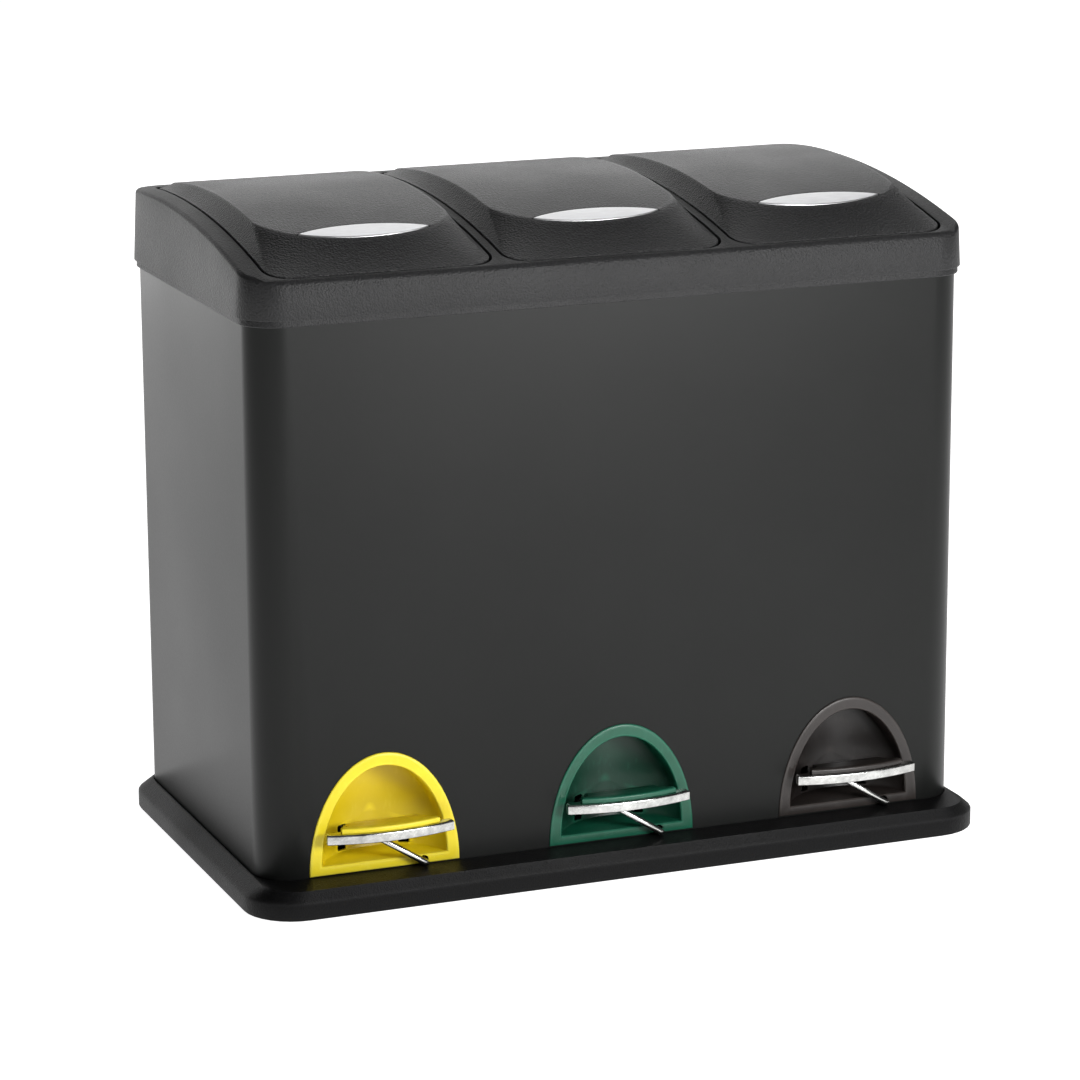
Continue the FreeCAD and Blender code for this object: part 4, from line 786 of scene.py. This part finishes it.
TIP_Y = CREASE_Y - CREASE_BOW * math.sqrt(1 - (TIP_HALF / CREASE_HALF) ** 2)
BADGE = dict(half=TIP_HALF + 0.0006, front=(TIP_Y + 0.0005, CREASE_Y - CREASE_BOW + 0.0010), back=TIP_Y + 0.0125)
ROD_Y = HINGE_Y - LEVER_ARM
ROD_REACH = LEVER_ARM * math.tan(HALF_TURN) / math.tan(HALF_CRANK_TURN)
lid_grain = grained("lid grain", (0.007, 0.007, 0.0073), (0.028, 0.028, 0.029), 0.40, 520, 0.00044, 0.5, 0.30)
steel_badge = bare_metal("brushed badge", (0.62, 0.62, 0.63), (0.86, 0.86, 0.87), 0.30, (0.12, 1, 1), 900.0)


def ring_bar(bm, start, end, outer, inner, steps=28):
    """Short tube along X."""
    def circle(x, radius):
        return [Vector((x, start.y + radius * math.cos(2 * math.pi * i / steps),
                        start.z + radius * math.sin(2 * math.pi * i / steps))) for i in range(steps)]
    skin(bm, [circle(start.x, outer), circle(end.x, outer),
              circle(end.x, inner), circle(start.x, inner)], closed=True)


for word, side, colour in SIDES:
    lid = bmesh.new()
    outer_rings, outer_wear_and_painted_sheen = crown_rings(0.0, 0.0, 0.0011)
    inner_rings, inner_wear_and_painted_sheen = crown_rings(LID_WALL, LID_WALL, 0.0006)
    lip = [lid_ring(LID_WALL, 0.0060), lid_ring(0.0021, 0.0062), lid_ring(0.0005, 0.0062), lid_ring(0.0, 0.0057),
           lid_ring(0.0, 0.0007), lid_ring(0.0003, 0.0002)]
    rings = list(reversed(inner_rings)) + lip + outer_rings
    ring_wear_and_painted_light = [0] * len(inner_rings) + [0, 0, 0.3, 0.5, 0.4, 0.8] + outer_wear_and_painted_sheen
    loops = skin(lid, rings, caps=(False, False), wear_and_painted_light=ring_wear_and_painted_light)
    fan(lid, loops[0], (0, 0.030, panel(0.030, LID_WALL)), flip=True)
    fan(lid, loops[-1], (0, 0.030, panel(0.030)))
    pocket = bmesh.new()
    pocket_edge = lens(inset=-0.0007, **dict(BADGE, back=BADGE["back"] + 0.0012))
    skin(pocket, [[Vector((x, y, panel(y, 0.0018))) for x, y in pocket_edge],
                  [Vector((x, y, panel(y, -0.004))) for x, y in pocket_edge]])
    lid = carve(lid, [pocket])
    # the lever hangs inside, its slot half a turn below level
    rod_x = side * PEDAL_PITCH + CRANK_OFFSET + ROD_REACH
    lever_x = rod_x - side * LID_PITCH - 0.0045
    far = LEVER_ARM / math.cos(HALF_TURN)
    lever = bmesh.new()
    lever_edge = [(HINGE_Y + 0.002, HINGE_Z - 0.004), (HINGE_Y + 0.002, panel(HINGE_Y, 0.0015)),
                  (HINGE_Y - far - 0.007, panel(HINGE_Y - far, 0.0015)), (HINGE_Y - far - 0.007, HINGE_Z - 0.009),
                  (HINGE_Y - far - 0.0045, HINGE_Z - 0.0135), (HINGE_Y - far + 0.002, HINGE_Z - 0.0141),
                  (HINGE_Y - 0.004, HINGE_Z - 0.0085)]
    skin(lever, [[Vector((lever_x + shift, y, z)) for y, z in lever_edge]
                 for shift in (-LEVER_HALF_THICK, LEVER_HALF_THICK)])
    slot = bmesh.new()
    middle = (LEVER_ARM + far) / 2
    slot_long, slot_high = (far - LEVER_ARM) / 2 + 0.0023, 0.00275
    along = Vector((0, -math.cos(HALF_TURN), -math.sin(HALF_TURN)))
    up = Vector((0, math.sin(HALF_TURN), -math.cos(HALF_TURN)))
    centre = Vector((lever_x, HINGE_Y, HINGE_Z)) + along * middle
    corners = []
    for i in range(24):
        angle = 2 * math.pi * i / 24
        reach = math.copysign(slot_long - slot_high, math.cos(angle)) + slot_high * math.cos(angle)
        corners.append(along * reach + up * slot_high * math.sin(angle))
    skin(slot, [[centre + Vector((shift, 0, 0)) + corner for corner in corners] for shift in (-0.004, 0.004)])
    bore = rod_cutter(Vector((lever_x - 0.01, HINGE_Y, HINGE_Z)),
                      Vector((lever_x + 0.01, HINGE_Y, HINGE_Z)), PIN_BORE)
    lever = carve(lever, [slot, bore])
    join(lid, lever)
    for hand in (-1, 1):
        ring_bar(lid, Vector((hand * 0.0862, HINGE_Y, HINGE_Z)),
                 Vector((hand * 0.0770, HINGE_Y, HINGE_Z)), 0.0040, PIN_BORE)
    bmesh.ops.translate(lid, verts=lid.verts, vec=(side * LID_PITCH, 0, 0))
    piece("lid_shell_" + word, lid, lid_grain, "lid_%s_body" % word, "lid_plastic", "lid_" + word, sharp=34)

    # Badge: a thin brushed steel lens pressed into a pocket over the front slope.
    badge = bmesh.new()
    levels = ((0.0, 0.0017), (0.0, 0.0001), (0.00015, -0.00025), (0.0005, -0.00045), (0.0012, -0.0005))
    rings = []
    for inset, drop in levels:
        rings.append([Vector((x + side * LID_PITCH, y, panel(y, drop))) for x, y in lens(inset=inset, **BADGE)])
    skin(badge, rings, wear_and_painted_light=[0, 0, 0.5, 0.3, 0])
    piece("badge_" + word, badge, steel_badge, "lid_%s_body" % word, "badge_silver", "lid_badge_" + word, sharp=30)


# ---- Pedals.
# Each is stamped from bright zinc-plated strip: a bowed front flange turned down, a
# flat top and two arms that reach through the recess to the hinge pin on its bracket.

PEDAL_TOP = 0.0605
PEDAL_LOW = PEDAL_TOP - 0.0075
ARM_X = 0.025
EYE_Y, EYE_Z, EYE = SHELL_FRONT + 0.045, 0.044, 0.0055
PEDAL_HALF = 0.0505
PEDAL_END = SHELL_FRONT - 0.016
PEDAL_NOSE = PEDAL_END - 0.008
PEDAL_DEEP = PEDAL_END + 0.007
PLATE_BACK = SHELL_FRONT + 0.006
TONGUE = 0.032


def pedal_outline(middle, inset, height, half=PEDAL_HALF, nose=PEDAL_NOSE, end=PEDAL_END, deep=PEDAL_DEEP,
                  tongue=TONGUE, back=PLATE_BACK, steps=40):
    """Plan of a pedal, clockwise from the left end: bowed front, short ends, narrower tongue behind."""
    edge = []
    for i in range(steps + 1):
        share = 2 * i / steps - 1
        edge.append((half * share, end + (nose - end) * (1 - share * share)))
    side_points = [(half, (end + deep) / 2), (half - 0.0008, deep - 0.0004), (half - 0.002, deep),
                   ((half + tongue) / 2 + 0.002, deep), (tongue + 0.004, deep + 0.0004),
                   (tongue + 0.0008, deep + 0.0026), (tongue, deep + 0.006), (tongue, back - 0.003),
                   (tongue - 0.0008, back - 0.0008), (tongue - 0.003, back)]
    edge += side_points + [(0.0, back)] + [(-x, y) for x, y in reversed(side_points)]
    ring = []
    count = len(edge)
    for i in range(count):
        before, after = Vector(edge[i - 1]), Vector(edge[(i + 1) % count])
        way = (after - before).normalized()
        x = edge[i][0] - way.y * inset
        y = edge[i][1] + way.x * inset
        z = height(x, y) if callable(height) else height
        ring.append(Vector((x + middle, y, z)))
    return ring


def flange(level):
    """The turned-down flange dies out behind the ends."""
    def height(x, y):
        share = min(max((y - PEDAL_DEEP + 0.001) / 0.004, 0), 1)
        return level + (PEDAL_TOP - 0.0016 - level) * share
    return height


def falling(level):
    """The pad's top slopes down toward the back."""
    def height(x, y):
        return level - max(0.0, y - (PEDAL_DEEP - 0.004)) * 0.148
    return height


bright = bare_metal("bright zinc strip", (0.26, 0.26, 0.255), (0.74, 0.74, 0.72), 0.16,
                    scale=130.0, deep=0.00016, dull=0.16)
for word, side, colour in SIDES:
    middle = side * PEDAL_PITCH
    plate = bmesh.new()
    skin(plate, [
        pedal_outline(middle, 0.0028, PEDAL_TOP - 0.0015),
        pedal_outline(middle, 0.0016, PEDAL_TOP - 0.0017),
        pedal_outline(middle, 0.0015, flange(PEDAL_LOW)),
        pedal_outline(middle, 0.0003, flange(PEDAL_LOW)),
        pedal_outline(middle, 0.0, flange(PEDAL_LOW + 0.0004)),
        pedal_outline(middle, 0.0, PEDAL_TOP - 0.0014),
        pedal_outline(middle, 0.0002, PEDAL_TOP - 0.0007),
        pedal_outline(middle, 0.0007, PEDAL_TOP - 0.0002),
        pedal_outline(middle, 0.0014, PEDAL_TOP),
    ], wear_and_painted_light=[0, 0, 0, 0.6, 0.4, 0.2, 0.5, 0.8, 0.3])
    for hand in (-1, 1):
        arm_x = middle + hand * ARM_X
        arm_edge = [(PEDAL_DEEP, PEDAL_TOP - 0.0012), (PEDAL_DEEP, PEDAL_LOW), (SHELL_FRONT + 0.009, PEDAL_LOW - 0.004),
                    (SHELL_FRONT + 0.019, 0.043)]
        for i in range(15):
            angle = math.radians(-115 + 205 * i / 14)
            arm_edge.append((EYE_Y + EYE * math.cos(angle), EYE_Z + EYE * math.sin(angle)))
        arm_edge += [(SHELL_FRONT + 0.015, 0.052), (SHELL_FRONT + 0.005, PEDAL_TOP - 0.0012)]
        arm = bmesh.new()
        skin(arm, [[Vector((arm_x + shift, y, z)) for y, z in arm_edge] for shift in (-0.001, 0.001)])
        arm = carve(arm, [rod_cutter(Vector((arm_x - 0.003, EYE_Y, EYE_Z)),
                                     Vector((arm_x + 0.003, EYE_Y, EYE_Z)), PIN_BORE)])
        join(plate, arm)
    piece("pedal_" + word, plate, bright, "pedal_%s_body" % word, "pedal_steel", "pedal_plate_" + word, sharp=32)

    # Pad: coloured plastic clipped over the plate, highest at the front.
    top = PEDAL_TOP + 0.004
    shape = dict(half=0.039, nose=PEDAL_NOSE + 0.0025, end=PEDAL_END - 0.0002, deep=PEDAL_DEEP - 0.001, tongue=0.030,
                 back=PLATE_BACK - 0.001)
    pad = bmesh.new()
    skin(pad, [
        pedal_outline(middle, 0.0004, PEDAL_TOP, **shape),
        pedal_outline(middle, 0.0, PEDAL_TOP + 0.0004, **shape),
        pedal_outline(middle, 0.0, falling(top - 0.0014), **shape),
        pedal_outline(middle, 0.0002, falling(top - 0.0007), **shape),
        pedal_outline(middle, 0.0007, falling(top - 0.0002), **shape),
        pedal_outline(middle, 0.0015, falling(top), **shape),
    ], wear_and_painted_light=[0, 0, 0.2, 0.6, 0.8, 0.4])
    piece("pad_" + word, pad, moulded[colour], "pedal_%s_body" % word, colour + "_plastic",
          "pedal_pad_" + word, sharp=32)


# ---- Crank rods and push rods.
# Bright drawn steel wire. Each crank turns in two floor blocks, its sloping front arm
# under the pedal and its rear arm under a plastic shoe on the foot of the push rod.

DOME = (math.radians(70), math.radians(40), math.radians(15))


def wire(bm, corners, bend, radius, steps=20, turns=9):
    """Round wire along straight runs with even bends, as one skin with domed ends."""
    path = [corners[0]]
    for before, corner, after in zip(corners, corners[1:], corners[2:]):
        inward, outward = (before - corner).normalized(), (after - corner).normalized()
        half = inward.angle(outward) / 2
        middle = (inward + outward).normalized()
        centre = corner + middle * (bend / math.sin(half))
        first, last = corner + inward * bend / math.tan(half), corner + outward * bend / math.tan(half)
        start, end = first - centre, last - centre
        sweep = start.angle(end)
        for i in range(turns + 1):
            share = i / turns
            spoke = start * math.sin((1 - share) * sweep) + end * math.sin(share * sweep)
            path.append(centre + spoke / math.sin(sweep))
    path.append(corners[-1])
    side = (path[1] - path[0]).orthogonal().normalized()
    rings = []
    for i, point in enumerate(path):
        way = (path[min(i + 1, len(path) - 1)] - path[max(i - 1, 0)]).normalized()
        side = (side - way * side.dot(way)).normalized()
        other = way.cross(side)

        def ring(centre, size):
            return [centre + size * (math.cos(2 * math.pi * k / steps) * side
                                     + math.sin(2 * math.pi * k / steps) * other) for k in range(steps)]
        if i == 0:
            for angle in DOME:
                rings.append(ring(point + way * radius * 0.5 * (1 - math.sin(angle)), radius * math.cos(angle)))
        elif i == len(path) - 1:
            for angle in reversed(DOME):
                rings.append(ring(point - way * radius * 0.5 * (1 - math.sin(angle)), radius * math.cos(angle)))
        else:
            rings.append(ring(point, radius))
    skin(bm, rings)


drawn = bare_metal("drawn wire", (0.40, 0.40, 0.39), (0.74, 0.74, 0.72), 0.2, (1, 1, 1), 520.0, 0.00003)
inner_black = grained("inner black", (0.010, 0.010, 0.010), (0.018, 0.018, 0.018), 0.5, 1500, 0.00006)
REST = math.radians(32.7)
FRONT_ARM = 0.054
FRONT_PLANE = SHELL_FRONT - 0.0095
for word, side, colour in SIDES:
    shaft_x = side * PEDAL_PITCH + CRANK_OFFSET
    far = ROD_REACH + 0.006
    foot = Vector((shaft_x, FRONT_PLANE, CRANK_HEIGHT))
    crank = bmesh.new()
    wire(crank, [foot + Vector((-math.cos(REST), 0, math.sin(REST))) * FRONT_ARM, foot,
                 Vector((shaft_x, ROD_Y, CRANK_HEIGHT)),
                 Vector((shaft_x + far, ROD_Y, CRANK_HEIGHT - far * math.tan(HALF_CRANK_TURN)))], 0.0035, 0.0025)
    piece("crank_" + word, crank, drawn, "crank_%s_body" % word, "wire_steel", "crank_rod_" + word, sharp=60)

    rod_low, rod_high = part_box("push_rod_" + word)
    rod_x = shaft_x + ROD_REACH
    pin_z = rod_high.z - 0.002
    rod = bmesh.new()
    wire(rod, [Vector((rod_x, ROD_Y, rod_low.z)), Vector((rod_x, ROD_Y, pin_z)), Vector((rod_low.x, ROD_Y, pin_z))],
         0.0021, 0.002)
    piece("rod_" + word, rod, drawn, "rod_%s_body" % word, "wire_steel", "push_rod_" + word, sharp=60)


# ---- Buckets.
# Three lift-out liners in dark polypropylene, tapered to nest, with a rolled rim, two
# ears and a wire bail that lies folded to the back.

bucket_plain = grained("bucket plastic", (0.030, 0.030, 0.032), (0.048, 0.048, 0.050), 0.42, 1300, 0.00005, 0.3)
BUCKET_LOW, BUCKET_TOP = 0.036, 0.460
BAIL_Y, BAIL_Z = SHELL_FRONT + 0.135, 0.4623
BAIL_BACK = SHELL_FRONT + 0.229
BAIL_HALF, BAIL_END = 0.072, 0.0785
for word, side, colour in SIDES:
    middle = side * LID_PITCH

    def bucket_ring(height, grow=0.0):
        share = (height - BUCKET_LOW) / (BUCKET_TOP - BUCKET_LOW)
        half = 0.072 + 0.009 * share + grow
        front = SHELL_FRONT + 0.061 - 0.041 * share - grow
        back = SHELL_FRONT + 0.238 + 0.011 * share + grow
        ring = outline(half, front, back, 0.024 + grow, 0.024 + grow, height, turn=10)
        return [point + Vector((middle, 0, 0)) for point in ring]

    bucket = bmesh.new()
    skin(bucket, [bucket_ring(0.036, -0.004), bucket_ring(0.0364, -0.0022), bucket_ring(0.0378, -0.0006),
                  bucket_ring(0.0405), bucket_ring(0.4535), bucket_ring(0.4545, 0.0006), bucket_ring(0.4550, 0.0018),
                  bucket_ring(0.4550, 0.0040), bucket_ring(0.4554, 0.0045), bucket_ring(0.4592, 0.0045),
                  bucket_ring(0.4600, 0.0037), bucket_ring(0.4600, -0.0012), bucket_ring(0.4596, -0.0018),
                  bucket_ring(0.4585, -0.0020), bucket_ring(0.0425, -0.0020), bucket_ring(0.0395, -0.0030),
                  bucket_ring(0.0380, -0.0060)],
         wear_and_painted_light=[0.4, 0.3, 0, 0, 0, 0, 0, 0.3, 0.5, 0.7, 0.7, 0.4, 0.3, 0, 0, 0, 0])
    for hand in (-1, 1):
        near, out = middle + hand * 0.0760, middle + hand * 0.0795
        bar(bucket, (min(near, out), BAIL_Y - 0.008, 0.4502), (max(near, out), BAIL_Y + 0.008, 0.4668), 0.0006)
    piece("liner_" + word, bucket, bucket_plain, "bucket_%s_body" % word, "bucket_plastic",
          "bucket_" + word, sharp=34)

    bail = bmesh.new()
    wire(bail, [Vector((middle + x, y, BAIL_Z)) for x, y in (
        (-BAIL_END, BAIL_Y), (-BAIL_HALF, BAIL_Y), (-BAIL_HALF, BAIL_BACK),
        (BAIL_HALF, BAIL_BACK), (BAIL_HALF, BAIL_Y), (BAIL_END, BAIL_Y))], 0.0025, 0.002)
    piece("bail_" + word, bail, drawn, "bail_%s_body" % word, "wire_steel", "bucket_bail_" + word, sharp=60)


# ---- Small parts.
# Hinge pins, stops, guides, bearing blocks, shoes and brackets keep the shapes they
# were drawn with and take the finishes of their materials.

small = {"hinge_pins": drawn, "pedal_pins": drawn, "pedal_brackets": zinc, "lid_stops": rubber,
         "rod_guides": inner_black, "crank_saddles": inner_black}
for word, side, colour in SIDES:
    small["rod_shoe_" + word] = inner_black
for node, finish in small.items():
    refinish(node, finish)


# ---- Floor, lights and camera.
# A pale sweep of matt paper, a broad light behind and above, softer ones at the
# sides and front.

floor = bmesh.new()
skin(floor, [outline(14.0, -12.0, 22.0, 4.0, 4.0, level, turn=24) for level in (-0.02, -0.0001)])
paper = Finish("matt paper", Specular_IOR_Level=0.1, Emission_Strength=1.12)
fibre = paper.noise(700.0, 2.0)
paper.relief(fibre, 0.00002)
pale = paper.mix(fibre.between(0.3, 0.7), (0.90, 0.90, 0.90), (0.93, 0.93, 0.93))
floor_piece = piece("floor", floor, paper.show(Base_Color=pale, Emission_Color=pale,
                                               Roughness=0.9 + (fibre - 0.5) * 0.05), None, None)


def soft_light(name, place, aim, width, height, glow):
    """A flat panel; glow is how bright its face looks."""
    lamp = bpy.data.lights.new(name, "AREA")
    lamp.shape = "RECTANGLE"
    lamp.size, lamp.size_y = width, height
    lamp.energy = glow * math.pi * width * height
    holder = bpy.data.objects.new(name, lamp)
    bpy.context.scene.collection.objects.link(holder)
    holder.location = place
    holder.rotation_euler = (Vector(aim) - Vector(place)).to_track_quat("-Z", "Y").to_euler()


soft_light("back_panel", (0.6, 3.4, 1.55), (0.1, 0.2, 0.3), 4.6, 1.9, 1.6)
soft_light("overhead", (0.0, 0.4, 2.9), (0.0, 0.2, 0.0), 3.0, 2.6, 0.22)
soft_light("left_panel", (-1.0, 1.7, 0.38), (-0.3, 0.0, 0.35), 0.9, 0.6, 2.2)
soft_light("front_panel", (0.40, -1.35, 0.50), (0.0, -0.15, 0.30), 0.6, 0.3, 28.0)
soft_light("high_back", (1.0, 1.5, 2.6), (0.0, -0.1, 0.5), 1.6, 1.0, 1.7)

world = bpy.data.worlds.new("studio")
bpy.context.scene.world = world
world.use_nodes = True
sky = world.node_tree.nodes["Background"].inputs
sky["Color"].default_value = (1, 1, 1, 1)
sky["Strength"].default_value = 0.02
bpy.context.scene.view_settings.view_transform = "Standard"
bpy.context.scene.view_settings.look = "None"

lens_data = bpy.data.cameras.new("camera")
lens_data.sensor_width = 36.0
lens_data.lens = 134.35
lens_data.clip_end = 60
camera = bpy.data.objects.new("camera", lens_data)
bpy.context.scene.collection.objects.link(camera)
camera.location = (-1.15634, -2.88297, 0.99711)
aim = Vector((0.35910, 0.90179, -0.24046))
turned = aim.to_track_quat("-Z", "Y").to_matrix() @ Matrix.Rotation(math.radians(-0.28), 3, "Z")
camera.rotation_euler = turned.to_euler()
bpy.context.scene.camera = camera
